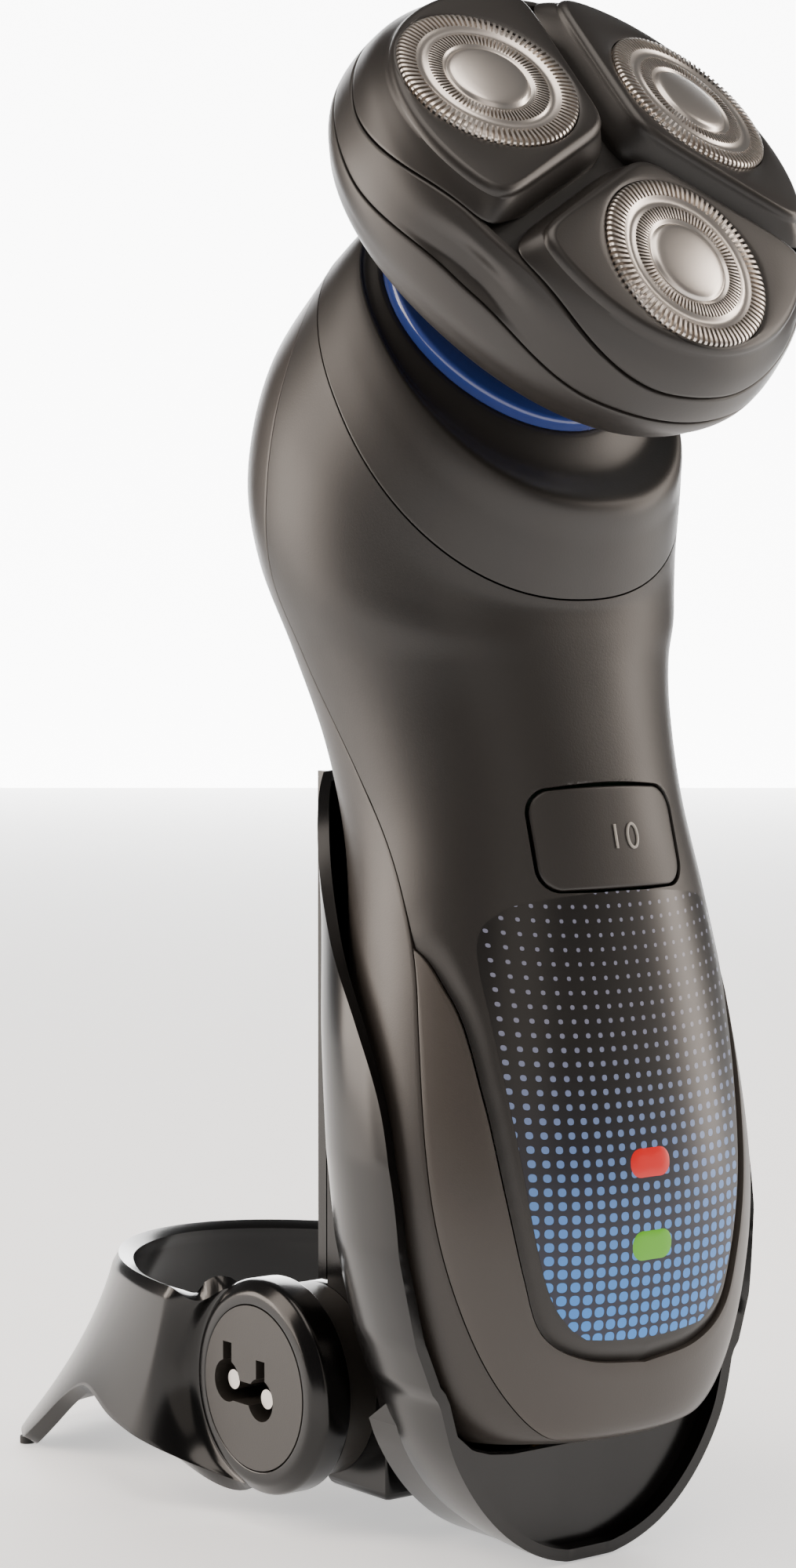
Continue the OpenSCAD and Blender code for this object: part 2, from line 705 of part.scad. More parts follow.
// Side view of the cradle's front edge: height, y
rim_keys = [[-2, -32.5], [0, -33.3], [4, -33.8], [22, -33.4], [38, -32], [46, -30.6], [54, -28], [62, -23],
    [70, -16], [78, -9.5], [cradle_h, -2], [100, 8]];

module behind_rim(dy = 0) {
    edge = [for (z = [-2 : 6 : 100]) [along(rim_keys, z, 1) + dy, z]];
    rotate([90, 0, 90]) linear_extrude(height = far, center = true)
        polygon(concat(edge, [[far, 100], [far, -2]]));
}

// Space the docked handle takes in the cradle, swept forward and along the way it is lifted out
module dock_space() {
    hull() for (p = [[0, 0, 0], [0, -60, 0], 80 * lift_way], drop = [0, dock_gap])
        translate(p) in_handle() translate([0, 0, -drop]) handle_form(-dock_gap, 0, 9, 12);
}

module stand_cradle() color(gloss_black) moulding() difference() {
    intersection() {
        cradle_form();
        behind_rim();
        translate([-50, -80, 0]) cube([100, 80 + spine_rear_y - cover_t, cradle_h]);
    }
    dock_space();
    contact_pins(0.05);
    intersection() {
        cradle_form(cradle_wall);
        difference() {
            translate([-50, -80, 1.5]) cube([100, 60, 40]);
            behind_rim(2);
        }
    }
}

spine_rear_y = hinge_y;
spine_low_z = 4;
spine_high_z = cradle_h;
spine_wall = 1.8;
cover_t = 1.6;

// Side view of the spine, from the cradle's back to the upright rear face
module spine_side(inset = 0) {
    rotate([90, 0, 90]) linear_extrude(height = 2 * (spine_half_w - inset), center = true)
        polygon([[-9, spine_low_z + inset], [spine_rear_y - cover_t, spine_low_z + inset],
            [spine_rear_y - cover_t, spine_high_z - inset], [-8, spine_high_z - inset], [-26, 60]]);
}

module stand_spine() color(gloss_black) difference() {
    union() {
        spine_side();
        translate([0, hinge_y, hinge_z]) rotate([0, 90, 0])
            cylinder(r = 11.3, h = 2 * spine_half_w, center = true);
    }
    intersection() {
        translate([-50, -80, -1]) cube([100, 130, cradle_h + 1]);
        cradle_form(-0.05);
    }
    difference() {
        spine_side(spine_wall);
        translate([-50, -80, 0]) cube([100, 62, 100]);
    }
    translate([-spine_half_w + spine_wall, -6, hinge_z - 8]) cube([2 * (spine_half_w - spine_wall), 12, 16]);
    translate([-50, spine_rear_y - cover_t, 28]) cube([100, 40, 100]);
}

module spine_cover() color(gloss_black) difference() {
    translate([-spine_half_w, spine_rear_y - cover_t + 0.05, 28.2])
        cube([2 * spine_half_w, cover_t - 0.05, spine_high_z - 28.2]);
    for (z = screw_heights) translate([0, spine_rear_y - 3, z])
        rotate([-90, 0, 0]) cylinder(r = screw_r + 0.1, h = 6);
}

screw_heights = [31, 58];

module spine_screws() color(steel) for (z = screw_heights)
    translate([0, spine_rear_y - 4.6, z]) rotate([-90, 0, 0]) cylinder(r = screw_r, h = 4.4);

collar_half_w = 17;

// Barrel end: the fixed journal that one of the foot's rings turns on, out to x
module barrel_end(sx) {
    translate([sx * (spine_half_w + 0.05), hinge_y, hinge_z]) rotate([0, sx * 90, 0]) {
        cylinder(r = 11.3, h = collar_half_w - spine_half_w - 0.15);
        cylinder(r = barrel_r, h = hinge_half_w - spine_half_w - 0.05);
    }
}

pin_y = hinge_y + 1.9;
inlet_depth = 7;
inlet_hole_r = 2.5;

module inlet_hole() {
    for (k = [-1, 1]) translate([0, k * pin_pitch / 2, k * 0.6])
        rotate([0, 90, 0]) cylinder(r = inlet_hole_r, h = inlet_depth);
    translate([0, -pin_pitch / 2, -1.6]) cube([inlet_depth, pin_pitch, 2.6]);
    for (k = [-1, 1]) translate([0, k * pin_pitch / 2 - 0.9, 0]) cube([inlet_depth, 1.7, 4.6 + k * 0.6]);
}

module mains_inlet() color(gloss_black) difference() {
    barrel_end(-1);
    translate([-hinge_half_w - 0.5, pin_y, hinge_z - 0.6]) inlet_hole();
    inlet_pins();
}

module barrel_cap() color(gloss_black) barrel_end(1);

module inlet_pins() color(steel) for (k = [-1, 1])
    translate([-hinge_half_w + 1, pin_y + k * pin_pitch / 2, hinge_z - 0.6 + k * 0.6])
        rotate([0, 90, 0]) cylinder(r = pin_r, h = inlet_depth - 1.5 + 1.2);

board_low = 33.5;

module charger_board() color([0.1, 0.35, 0.2])
    translate([-9, spine_rear_y - cover_t - 4, board_low]) cube([18, 1.2, 21.5]);

module charger_transformer() color([0.8, 0.7, 0.3])
    translate([-6, spine_rear_y - cover_t - 2.75, board_low + 4]) cube([12, 2.6, 14]);

contact_r = 0.9;

// The two charging pins that stand up from the dock's floor under the handle
module contact_pins(grow = 0) in_handle() for (sx = [-1, 1])
    translate([sx * socket_x, socket_y, -4]) cylinder(r = contact_r + grow, h = 4.6);

module dock_contacts() color([0.75, 0.65, 0.35]) contact_pins();

// ---------- folding foot ----------

// Stations round the loop, 0 at the left hinge ring and 180 at the right
foot_stations = [for (t = [0 : 5 : 180]) t];

// Lower edge of the loop: station, height
foot_low_keys = [[0, 7], [14, 9], [28, 11], [36, 8], [43, 0.9], [50, 0.9], [58, 3], [90, 4]];

function mirrored(t) = t > 90 ? 180 - t : t;
function foot_low(t) = max(pad_h, along(foot_low_keys, mirrored(t), 1));

// Plan point of the loop at station t and height share u, 0 at the ground and 1 at the rim
function foot_plan(t, u, inset) =
    let (flare = pow(1 - u, 1.5), p = 1 - 0.3 * (1 - u),
        w = foot_half_w + 3.4 * flare - inset,
        start = hinge_y + 8, reach = 39 + (foot_reach - 39 - 8) * flare - inset)
    [-w * signed_power(cos(t), p), start + reach * signed_power(sin(t), p)];

function foot_point(t, z, inset) = let (p = foot_plan(t, z / foot_rim_z, inset)) [p[0], p[1], z];

// Section of the loop at station t: up the outside and down the inside
function foot_section(t) = let (lo = foot_low(t), n = 5) concat(
    [for (i = [0 : n]) foot_point(t, lo + (foot_rim_z - lo) * i / n, 0)],
    [for (i = [n : -1 : 0]) foot_point(t, lo + (foot_rim_z - lo) * i / n, foot_wall)]);

// Arm from the loop's end round to the hinge ring
module foot_arm(sx) {
    x0 = min(sx * (collar_half_w + 0.15), sx * hinge_half_w);
    difference() {
        hull() {
            translate([x0, hinge_y, hinge_z]) rotate([0, 90, 0])
                cylinder(r = ring_r, h = hinge_half_w - collar_half_w - 0.15, $fn = 48);
            translate([sx * (foot_half_w - foot_wall / 2), hinge_y + 8, 8])
                cylinder(r = foot_wall / 2, h = foot_rim_z - 9, $fn = 16);
        }
        translate([x0 - 5, hinge_y, hinge_z]) rotate([0, 90, 0])
            cylinder(r = barrel_r + barrel_clear, h = 14);
        translate([-spine_half_w - 5, -40, 0]) cube([2 * spine_half_w + 10, 60, 60]);
    }
}

module stand_foot() color([0.3, 0.28, 0.26]) {
    skin([for (t = foot_stations) foot_section(t)]);
    for (sx = [-1, 1]) foot_arm(sx);
}

pad_station = 46.5;
pad_h = 0.9;

module foot_pads() color([0.05, 0.05, 0.05]) for (sx = [-1, 1]) {
    spot = foot_point(pad_station, pad_h, foot_wall / 2);
    translate([sx * spot[0], spot[1], 0]) cylinder(r = foot_wall / 2 - 0.05, h = pad_h);
}

// ---------- placing ----------

// A head-frame (y, z) pair given in world y, before the shift to the middle
function head_world_y(p) =
    let (q = head_to_handle(p)) handle_foot_y + q[0] * cos(dock_lean) + q[1] * sin(dock_lean);

front_reach = head_world_y([-unit_circle_r - guard_r * cos(unit_tilt),
    unit_face_z - guard_r * sin(unit_tilt)]);
rear_reach = foot_plan(90, foot_low(90) / foot_rim_z, 0)[1];
middle_y = (front_reach + rear_reach) / 2;

// Shift that puts the origin under the middle of the whole object
module placed() translate([0, -middle_y, 0]) children();

placed() stand_cradle();
placed() stand_spine();
placed() spine_cover();
placed() spine_screws();
placed() mains_inlet();
placed() inlet_pins();
placed() barrel_cap();
placed() charger_board();
placed() charger_transformer();
placed() dock_contacts();
placed() stand_foot();
placed() foot_pads();
placed() front_cover();
placed() rear_cover();
placed() trim_frame();
placed() display_window();
placed() charge_light();
placed() low_light();
placed() power_button();
placed() button_switch();
placed() circuit_board();
placed() battery_cell();
placed() chassis();
placed() charge_sockets();
placed() cover_screws();
placed() neck_collar();
placed() neck_ring();
placed() neck_post();
placed() motor();
placed() motor_shaft();
placed() gimbal_ring();
placed() head_base();
placed() gear_plate();
placed() drive_gear();
placed() gear_front();
placed() gear_left();
placed() gear_right();
placed() head_frame();
placed() pod_front();
placed() pod_left();
placed() pod_right();
placed() guard_front();
placed() guard_left();
placed() guard_right();
placed() cutter_front();
placed() cutter_left();
placed() cutter_right();
placed() retainer_front();
placed() retainer_left();
placed() retainer_right();
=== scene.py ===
"""Looks of a three-head rotary shaver standing in its folding charging stand."""

import math

import bpy
import numpy as np
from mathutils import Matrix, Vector


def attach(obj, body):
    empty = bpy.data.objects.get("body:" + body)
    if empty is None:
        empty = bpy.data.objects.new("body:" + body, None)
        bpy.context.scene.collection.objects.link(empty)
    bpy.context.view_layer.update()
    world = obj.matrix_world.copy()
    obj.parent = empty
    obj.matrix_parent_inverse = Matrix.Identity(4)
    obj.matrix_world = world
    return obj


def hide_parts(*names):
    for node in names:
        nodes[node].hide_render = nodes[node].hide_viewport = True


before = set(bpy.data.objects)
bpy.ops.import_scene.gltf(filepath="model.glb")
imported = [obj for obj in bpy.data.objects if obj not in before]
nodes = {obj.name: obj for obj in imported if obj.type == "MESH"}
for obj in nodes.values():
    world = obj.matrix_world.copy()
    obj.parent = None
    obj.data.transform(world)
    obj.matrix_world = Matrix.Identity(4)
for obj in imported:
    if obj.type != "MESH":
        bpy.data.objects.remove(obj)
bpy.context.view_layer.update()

MM = 0.001
PI = math.pi

# ---------- driving dimensions, millimetres and degrees, as the CAD names them ----------

MIDDLE_Y = 3.9098
HANDLE_FOOT = (0, -32, 14)
DOCK_LEAN = 10.5
HEAD_AT = (0, -21.5, 134.3)
HEAD_TILT = 62.3
HEAD_R = 28.7
UNIT_CIRCLE_R = 16.9
UNIT_TILT = 9.2
UNIT_FACE_Z = 11.8
GUARD_R = 10.5
SEAM = 0.09
SHELL_T, SHELL_EDGE = 1.1, 0.16
UNITS = {"front": 270, "left": 150, "right": 30}

# [station, front y, front height, rear y, rear height, half-width] up the handle
HANDLE_KEYS = np.array([
    [0, -7.5, 0, 8, 1, 10], [1, -9.6, 1.2, 11, 2, 15.5], [2, -11.4, 6, 13.5, 6, 20],
    [3, -14, 14, 15.5, 13, 23], [4, -16.2, 24, 16, 23, 24.8], [5, -17.2, 34, 16, 33, 24.9],
    [6, -17.7, 47, 15.7, 46, 23.52], [7, -17.6, 60, 15.6, 58, 21.7], [8, -17, 71, 15.8, 69, 20.3],
    [9, -16.3, 80, 16.8, 81, 20.9], [10, -16.1, 85, 19.6, 94, 22.6], [11, -16, 87.8, 21.8, 107, 25],
    [12, -15.9, 89.8, 21, 119, 25.8], [13, -15.9, 91.2, 14.5, 131, 25.3],
    [14, -16.2, 92.4, 3, 139.5, 23.5]])
TOP = 14
ROUNDING = 0.9
# [height, y] of the seam between front and rear mouldings
SPLIT_KEYS = np.array([[-10, -7], [50, -7], [62, -5], [76, 1], [88, 6], [98, 7.5], [110, 5],
                       [125, 2], [160, 0]])
# [station, height, half-width] of the grey trim's inner edge
PANEL_KEYS = np.array([[0, 8, 0], [1, 9.2, 8], [2, 12.5, 13.4], [3, 19, 15.8], [4, 28, 17.6],
                       [5, 38.6, 18.8], [6, 50, 20.2], [7, 60, 24], [8, 70, 40]])
# [share of the window's height, share of its half-width]
WINDOW_KEYS = np.array([[0, 0.46], [0.03, 0.57], [0.1, 0.7], [0.25, 0.81], [0.5, 0.89], [0.75, 0.945],
                        [0.9, 0.955], [0.965, 0.9], [1, 0.76]])
WINDOW_HALF_W, WINDOW_LOW, WINDOW_HIGH = 18.2, 11.5, 59
BUTTON_W, BUTTON_H, BUTTON_AT, BUTTON_CORNER = 20.6, 11, 65.8, 2.6
LIGHT_W, LIGHT_H, GREEN_AT, RED_AT = 5.8, 3.3, 20.8, 29.8
STEP_DEPTH, STEP_W = 0.75, 2.0
# (radius, height) up the outside of the head
HEAD_KEYS = np.array([[-7.6, 20], [-5.8, 25], [-2.6, 27.7], [0, 28.7], [4.2, 28.5], [7.6, 27.5],
                      [11.2, 24.5], [13.6, 18.7], [15.2, 8]])
RING_OUT, RING_IN, RING_SHIFT, RING_LOW, RING_HIGH = 16.6, 13, -2, -14.15, -12.35

# welding distance in metres, columns round a turned solid, then sizes in the head
WELD_GAP = 0.000004
AROUND = 128
LIP_H = 0.2
POCKET_BASE, POCKET_FLOOR, POCKET_WALL = -7.6, -6.2, 1.8
WEB_REACH = 25.2
GAP_TOP, GAP_LOW, GAP_DEPTH = 2.6, 0.7, 4.2
FILLET = 1.1
SLOTS, STEPS = 90, 4


# ---------- numbers ----------

def along(keys, s, column):
    """Value of a column at station s on a smooth curve through the rows of keys."""
    s = np.asarray(s, float)
    at, v = keys[:, 0], keys[:, column]
    i = np.clip(np.searchsorted(at, s, side="right") - 1, 0, len(at) - 2)
    rise = np.empty(len(at))
    rise[1:-1] = (v[2:] - v[:-2]) / (at[2:] - at[:-2])
    rise[0], rise[-1] = (v[1] - v[0]) / (at[1] - at[0]), (v[-1] - v[-2]) / (at[-1] - at[-2])
    w = at[i + 1] - at[i]
    t = (s - at[i]) / w
    return (v[i] * (2 * t - 3) * t * t + v[i] + v[i + 1] * (3 - 2 * t) * t * t
            + w * rise[i] * t * (1 - t) ** 2 - w * rise[i + 1] * t * t * (1 - t))


def signed_power(v, p):
    return np.sign(v) * np.abs(v) ** p


def smooth(t):
    t = np.clip(t, 0, 1)
    return t * t * (3 - 2 * t)


def stack(*parts):
    return np.stack(np.broadcast_arrays(*parts), axis=-1)


def polar(r, a, z):
    """Points at radius r, angle a and height z."""
    return stack(r * np.cos(a), r * np.sin(a), z)


def turn(axis, degrees):
    c, s = math.cos(math.radians(degrees)), math.sin(math.radians(degrees))
    m = np.eye(4)
    i, j = {"x": (1, 2), "z": (0, 1)}[axis]
    m[i, i] = m[j, j] = c
    m[i, j], m[j, i] = -s, s
    return m


def shift(x, y, z):
    m = np.eye(4)
    m[:3, 3] = x, y, z
    return m


def place(frame_of, points):
    return points @ frame_of[:3, :3].T + frame_of[:3, 3]


HANDLE = shift(0, -MIDDLE_Y, 0) @ shift(*HANDLE_FOOT) @ turn("x", -DOCK_LEAN)
HEAD = HANDLE @ shift(*HEAD_AT) @ turn("x", HEAD_TILT)


def unit_place(angle):
    """From a shaving unit's own frame to the head's."""
    return turn("z", angle - 270) @ shift(0, -UNIT_CIRCLE_R, UNIT_FACE_Z) @ turn("x", UNIT_TILT)


def bisect(low, high, is_low):
    """The place between low and high where is_low turns from true to false."""
    for _ in range(44):
        middle = (low + high) / 2
        under = is_low(middle)
        low, high = np.where(under, middle, low), np.where(under, high, middle)
    return (low + high) / 2


# ---------- meshes ----------

def select(obj):
    bpy.ops.object.select_all(action="DESELECT")
    obj.select_set(True)
    bpy.context.view_layer.objects.active = obj


def sheet(name, points, parts=None):
    """Quads through rows and columns of points in mm. parts gives each quad's material."""
    rows, cols = points.shape[:2]
    bpy.ops.object.select_all(action="DESELECT")
    bpy.ops.mesh.primitive_grid_add(x_subdivisions=cols - 1, y_subdivisions=rows - 1, size=2,
                                    location=(0, 0, 0))
    obj = bpy.context.object
    obj.name = obj.data.name = name
    mesh = obj.data
    flat = np.empty(len(mesh.vertices) * 3)
    mesh.vertices.foreach_get("co", flat)
    flat = flat.reshape(-1, 3)
    col = np.rint((flat[:, 0] + 1) / 2 * (cols - 1)).astype(int)
    row = np.rint((flat[:, 1] + 1) / 2 * (rows - 1)).astype(int)
    if parts is not None:
        corner = np.array([list(p.vertices) for p in mesh.polygons])
        mesh.polygons.foreach_set("material_index", parts[row[corner].min(1), col[corner].min(1)])
    mesh.vertices.foreach_set("co", (points[row, col] * MM).ravel())
    mesh.update()
    select(obj)
    bpy.ops.object.mode_set(mode="EDIT")
    bpy.ops.mesh.select_all(action="SELECT")
    bpy.ops.mesh.remove_doubles(threshold=WELD_GAP)
    bpy.ops.mesh.normals_make_consistent(inside=False)
    bpy.ops.object.mode_set(mode="OBJECT")
    return obj


def flip_if_inward(obj, middle):
    """Turns an open sheet's normals away from middle, mm."""
    middle = np.array(middle) * MM
    score = sum(p.area * float(np.dot(p.normal, np.array(p.center) - middle))
                for p in obj.data.polygons)
    if score < 0:
        select(obj)
        bpy.ops.object.mode_set(mode="EDIT")
        bpy.ops.mesh.select_all(action="SELECT")
        bpy.ops.mesh.flip_normals()
        bpy.ops.object.mode_set(mode="OBJECT")


def modify(obj, kind, **values):
    select(obj)
    mod = obj.modifiers.new(kind.title(), kind)
    for key, value in values.items():
        setattr(mod, key, value)
    bpy.ops.object.modifier_apply(modifier=mod.name)


def thicken(obj, wall, edge, middle):
    flip_if_inward(obj, middle)
    modify(obj, "SOLIDIFY", thickness=wall * MM, offset=-1, use_even_offset=False)
    if edge:
        modify(obj, "BEVEL", width=edge * MM, segments=2, limit_method="ANGLE",
               angle_limit=math.radians(55), use_clamp_overlap=True)


def join(name, objs):
    select(objs[0])
    for o in objs:
        o.select_set(True)
    bpy.ops.object.join()
    objs[0].name = objs[0].data.name = name
    return objs[0]


def done(obj, body, slot, replaced=(), materials=None, angle=40):
    obj.data.materials.clear()
    for m in materials or [MATERIALS[slot]]:
        obj.data.materials.append(m)
    select(obj)
    bpy.ops.object.shade_smooth_by_angle(angle=math.radians(angle))
    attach(obj, body)
    if replaced:
        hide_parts(*replaced)
    return obj


# ---------- finishes ----------

def linear(rgb):
    return tuple((c / 255 / 12.92) if c / 255 <= 0.04045 else ((c / 255 + 0.055) / 1.055) ** 2.4
                 for c in rgb) + (1,)


def finish(name, rgb, rough=0.4, metal=0.0, coat=0.0, grain=0.0, grain_mm=0.25, smudge=0.06,
           spec=0.5):
    """A plain finish with a fine grain and a slightly uneven gloss."""
    m = bpy.data.materials.new(name)
    m.use_nodes = True
    nt = m.node_tree
    b = nt.nodes["Principled BSDF"]
    b.inputs["Base Color"].default_value = linear(rgb)
    b.inputs["Metallic"].default_value = metal
    b.inputs["Specular IOR Level"].default_value = spec
    b.inputs["Coat Weight"].default_value = coat
    b.inputs["Coat Roughness"].default_value = 0.08
    at = nt.nodes.new("ShaderNodeTexCoord")
    cloud = nt.nodes.new("ShaderNodeTexNoise")
    cloud.inputs["Scale"].default_value = 60
    cloud.inputs["Detail"].default_value = 3
    nt.links.new(at.outputs["Object"], cloud.inputs["Vector"])
    span = nt.nodes.new("ShaderNodeMapRange")
    span.inputs["To Min"].default_value = max(rough - smudge, 0.02)
    span.inputs["To Max"].default_value = rough + smudge
    nt.links.new(cloud.outputs["Fac"], span.inputs["Value"])
    nt.links.new(span.outputs["Result"], b.inputs["Roughness"])
    if grain:
        fine = nt.nodes.new("ShaderNodeTexNoise")
        fine.inputs["Scale"].default_value = 1 / (grain_mm * MM)
        fine.inputs["Detail"].default_value = 1
        bump = nt.nodes.new("ShaderNodeBump")
        bump.inputs["Strength"].default_value = grain
        bump.inputs["Distance"].default_value = 0.00004
        nt.links.new(at.outputs["Object"], fine.inputs["Vector"])
        nt.links.new(fine.outputs["Fac"], bump.inputs["Height"])
        nt.links.new(bump.outputs["Normal"], b.inputs["Normal"])
    return m


def window_finish(name):
    """Square dots on a dark film, growing and turning blue down the window."""
    m = finish(name, (14, 14, 18), rough=0.32, smudge=0.03)
    nt = m.node_tree
    b = nt.nodes["Principled BSDF"]
    at = nt.nodes.new("ShaderNodeTexCoord")

    def math_node(op, a, v=None, third=None):
        n = nt.nodes.new("ShaderNodeMath")
        n.operation = op
        for i, x in enumerate((a, v, third)):
            if x is None:
                continue
            if isinstance(x, (int, float)):
                n.inputs[i].default_value = x
            else:
                nt.links.new(x, n.inputs[i])
        return n.outputs[0]

    def ramp(value, low, high, first, last):
        n = nt.nodes.new("ShaderNodeMapRange")
        n.interpolation_type = "SMOOTHSTEP"
        for key, x in (("From Min", low), ("From Max", high), ("To Min", first), ("To Max", last)):
            n.inputs[key].default_value = x
        nt.links.new(value, n.inputs["Value"])
        return n.outputs["Result"]

    def blend(fac, first, last):
        n = nt.nodes.new("ShaderNodeMix")
        n.data_type = "RGBA"
        nt.links.new(fac, n.inputs["Factor"])
        for i, x in ((6, first), (7, last)):
            if isinstance(x, tuple):
                n.inputs[i].default_value = x
            else:
                nt.links.new(x, n.inputs[i])
        return n.outputs[2]

    split = nt.nodes.new("ShaderNodeSeparateXYZ")
    nt.links.new(at.outputs["Object"], split.inputs[0])
    x, y, z = split.outputs
    foot = place(HANDLE, np.zeros(3)) * MM
    c, s = math.cos(math.radians(DOCK_LEAN)), math.sin(math.radians(DOCK_LEAN))
    up = math_node("ADD", math_node("MULTIPLY", math_node("SUBTRACT", z, float(foot[2])), c),
                   math_node("MULTIPLY", math_node("SUBTRACT", y, float(foot[1])), -s))
    low, high = WINDOW_LOW * MM, WINDOW_HIGH * MM
    pitch_x, pitch_z = 1.56 * MM, 1.46 * MM
    squareness = 2.4

    def off_middle(value, pitch):
        share = math_node("FRACT", math_node("DIVIDE", value, pitch))
        return math_node("POWER", math_node("ABSOLUTE", math_node("SUBTRACT", share, 0.5)), squareness)
    reach = math_node("POWER", math_node("ADD", off_middle(x, pitch_x), off_middle(up, pitch_z)),
                      1 / squareness)
    half = ramp(up, low, high, 0.40, 0.14)
    mask = math_node("GREATER_THAN", half, reach)
    tint = blend(ramp(up, low + 0.004, high - 0.008, 0.0, 1.0),
                 linear((52, 132, 214)), linear((112, 114, 134)))
    base = blend(ramp(up, low, high - 0.012, 0.0, 1.0), linear((5, 14, 46)), linear((20, 18, 17)))
    nt.links.new(blend(mask, base, tint), b.inputs["Base Color"])
    return m


def glow(m, rgb, strength):
    b = m.node_tree.nodes["Principled BSDF"]
    b.inputs["Emission Color"].default_value = linear(rgb)
    b.inputs["Emission Strength"].default_value = strength
    return m


def light_finish(name, rgb):
    """A plainly lit lens."""
    return glow(finish(name, rgb, rough=0.3), rgb, 0.2)


MATERIALS = {
    "soft_black": finish("soft_black", (27, 24, 22), rough=0.44, grain=0.25, grain_mm=0.22),
    "side_black": finish("side_black", (38, 34, 31), rough=0.4, grain=0.25, grain_mm=0.22),
    "trim_grey": finish("trim_grey", (54, 49, 45), rough=0.38, grain=0.2, grain_mm=0.2),
    "gloss_black": finish("gloss_black", (6, 5, 5), rough=0.2, smudge=0.03, spec=0.4),
    "window": window_finish("window"),
    "blue": finish("blue", (48, 66, 132), rough=0.16, coat=0.8, smudge=0.03),
    "red_light": light_finish("red_light", (196, 4, 3)),
    "green_light": light_finish("green_light", (84, 160, 12)),
    "steel": finish("steel", (208, 202, 196), rough=0.3, metal=1.0, grain=0.05, smudge=0.05),
    "black_rubber": finish("black_rubber", (24, 24, 24), rough=0.7, grain=0.3),
    "board": finish("board", (26, 86, 50), rough=0.45, coat=0.3),
    "contact_gold": finish("contact_gold", (206, 164, 84), rough=0.25, metal=1.0),
    "cell": finish("cell", (46, 92, 150), rough=0.3, coat=0.3),
    "white_plastic": finish("white_plastic", (214, 212, 206), rough=0.4),
    "dark_metal": finish("dark_metal", (92, 92, 94), rough=0.35, metal=1.0),
}
# near-black finish for the floors of the guards' slots: painted shade in the slots
SLOT_PAINTED_SHADE = finish("slot_painted_shade", (9, 9, 9), rough=0.6)
MARK = finish("mark", (150, 146, 140), rough=0.4)
DISC = finish("disc_grey", (40, 37, 34), rough=0.42, grain=0.2)


# ---------- handle ----------

def skin_ring(keys, t, b, inset, power):
    """Points of a skin at station t and angle b from the front, in the handle's frame."""
    fy, fs, ry, rs, w = (along(keys, t, c) for c in range(1, 6))
    half_y, half_s = (ry - fy) / 2, (rs - fs) / 2
    k = signed_power(np.cos(b), power) * (1 - inset / np.hypot(half_y, half_s))
    return stack((w - inset) * signed_power(np.sin(b), power), (fy + ry) / 2 - half_y * k,
                 (fs + rs) / 2 - half_s * k)


def handle_ring(t, b, inset=0.0):
    return skin_ring(HANDLE_KEYS, t, b, inset, ROUNDING)


def split_angle(t):
    t = np.asarray(t, float)

    def in_front(b):
        p = handle_ring(t, b)
        return p[..., 1] < along(SPLIT_KEYS, p[..., 2], 1)
    return bisect(np.zeros_like(t), np.full_like(t, PI), in_front)


def handle_at(x, s):
    """Station and angle of the front skin's point at half-width x and height s."""
    x, s = np.broadcast_arrays(np.asarray(x, float), np.asarray(s, float))

    def angle(t):
        return np.arcsin(np.clip(np.abs(x) / along(HANDLE_KEYS, t, 5), 0, 1) ** (1 / ROUNDING))
    t = bisect(np.zeros_like(s), np.full_like(s, TOP), lambda t: handle_ring(t, angle(t))[..., 2] < s)
    return t, np.sign(x) * angle(t)


def spread(path, count):
    """count points spaced evenly along a path of (station, angle) pairs."""
    p = handle_ring(path[:, 0], path[:, 1])
    run = np.concatenate([[0], np.cumsum(np.linalg.norm(np.diff(p, axis=0), axis=1))])
    at = np.linspace(0, run[-1], count)
    return np.stack([np.interp(at, run, path[:, 0]), np.interp(at, run, path[:, 1])], axis=-1)


outline_at = np.linspace(0, 7.2, 700)
outline = stack(*handle_at(along(PANEL_KEYS, outline_at, 2), along(PANEL_KEYS, outline_at, 1)))
cross = int(np.argmax(outline[:, 1] > split_angle(outline[:, 0])))
panel_edge = outline[:cross]
cross_t = float(outline[cross, 0])
above = stack(np.linspace(cross_t, TOP, 400), split_angle(np.linspace(cross_t, TOP, 400)))
below_t = np.linspace(0, cross_t, 300)
below = stack(below_t, split_angle(below_t))
foot_turn = stack(np.zeros(60), np.linspace(0, below[0, 1], 60))
outline_xs = handle_ring(outline[:, 0], outline[:, 1])[:, [0, 2]]


def panel_inset(points):
    """How far the front panel dips towards its edge."""
    flat = stack(np.abs(points[..., 0]), points[..., 2]).reshape(-1, 1, 2)
    gap = np.concatenate([np.linalg.norm(part - outline_xs[None, ::4], axis=2).min(1)
                          for part in np.array_split(flat, 60)]).reshape(points.shape[:-1])
    fade = 1 - smooth((points[..., 2] - 50) / 12)
    return STEP_DEPTH * (1 - smooth(gap / STEP_W)) * fade


def pull(edge, gap):
    """Moves an edge path by gap mm towards the middle of the front (gap > 0) or away."""
    w = along(HANDLE_KEYS, edge[:, 0], 5)
    moved = edge.copy()
    moved[:, 1] = np.maximum(edge[:, 1] - gap / w, 0)
    return moved


# front shell: rows follow its edge, columns run from edge to edge
edge = np.concatenate([spread(pull(panel_edge, SEAM), 120), spread(pull(above, SEAM), 150)[1:]])
u = np.linspace(-1, 1, 121)
u = np.sin(u * PI / 2)
t_grid = np.repeat(edge[:, :1], len(u), axis=1)
b_grid = edge[:, 1:] * u[None, :]
front = handle_ring(t_grid, b_grid, panel_inset(handle_ring(t_grid, b_grid)))
front_shell = sheet("front_shell", place(HANDLE, front))
thicken(front_shell, SHELL_T, SHELL_EDGE, place(HANDLE, np.array([0, 0, 60.0])))


def rounded_box(w, h, corner, count=16):
    """Outline of a rounded rectangle, wide w and high h, round its middle."""
    points = []
    for cx, cy, a0 in ((1, 1, 0), (-1, 1, 90), (-1, -1, 180), (1, -1, 270)):
        for k in range(count + 1):
            a = math.radians(a0 + 90 * k / count)
            points.append((cx * (w / 2 - corner) + corner * math.cos(a),
                           cy * (h / 2 - corner) + corner * math.sin(a)))
    return np.array(points)


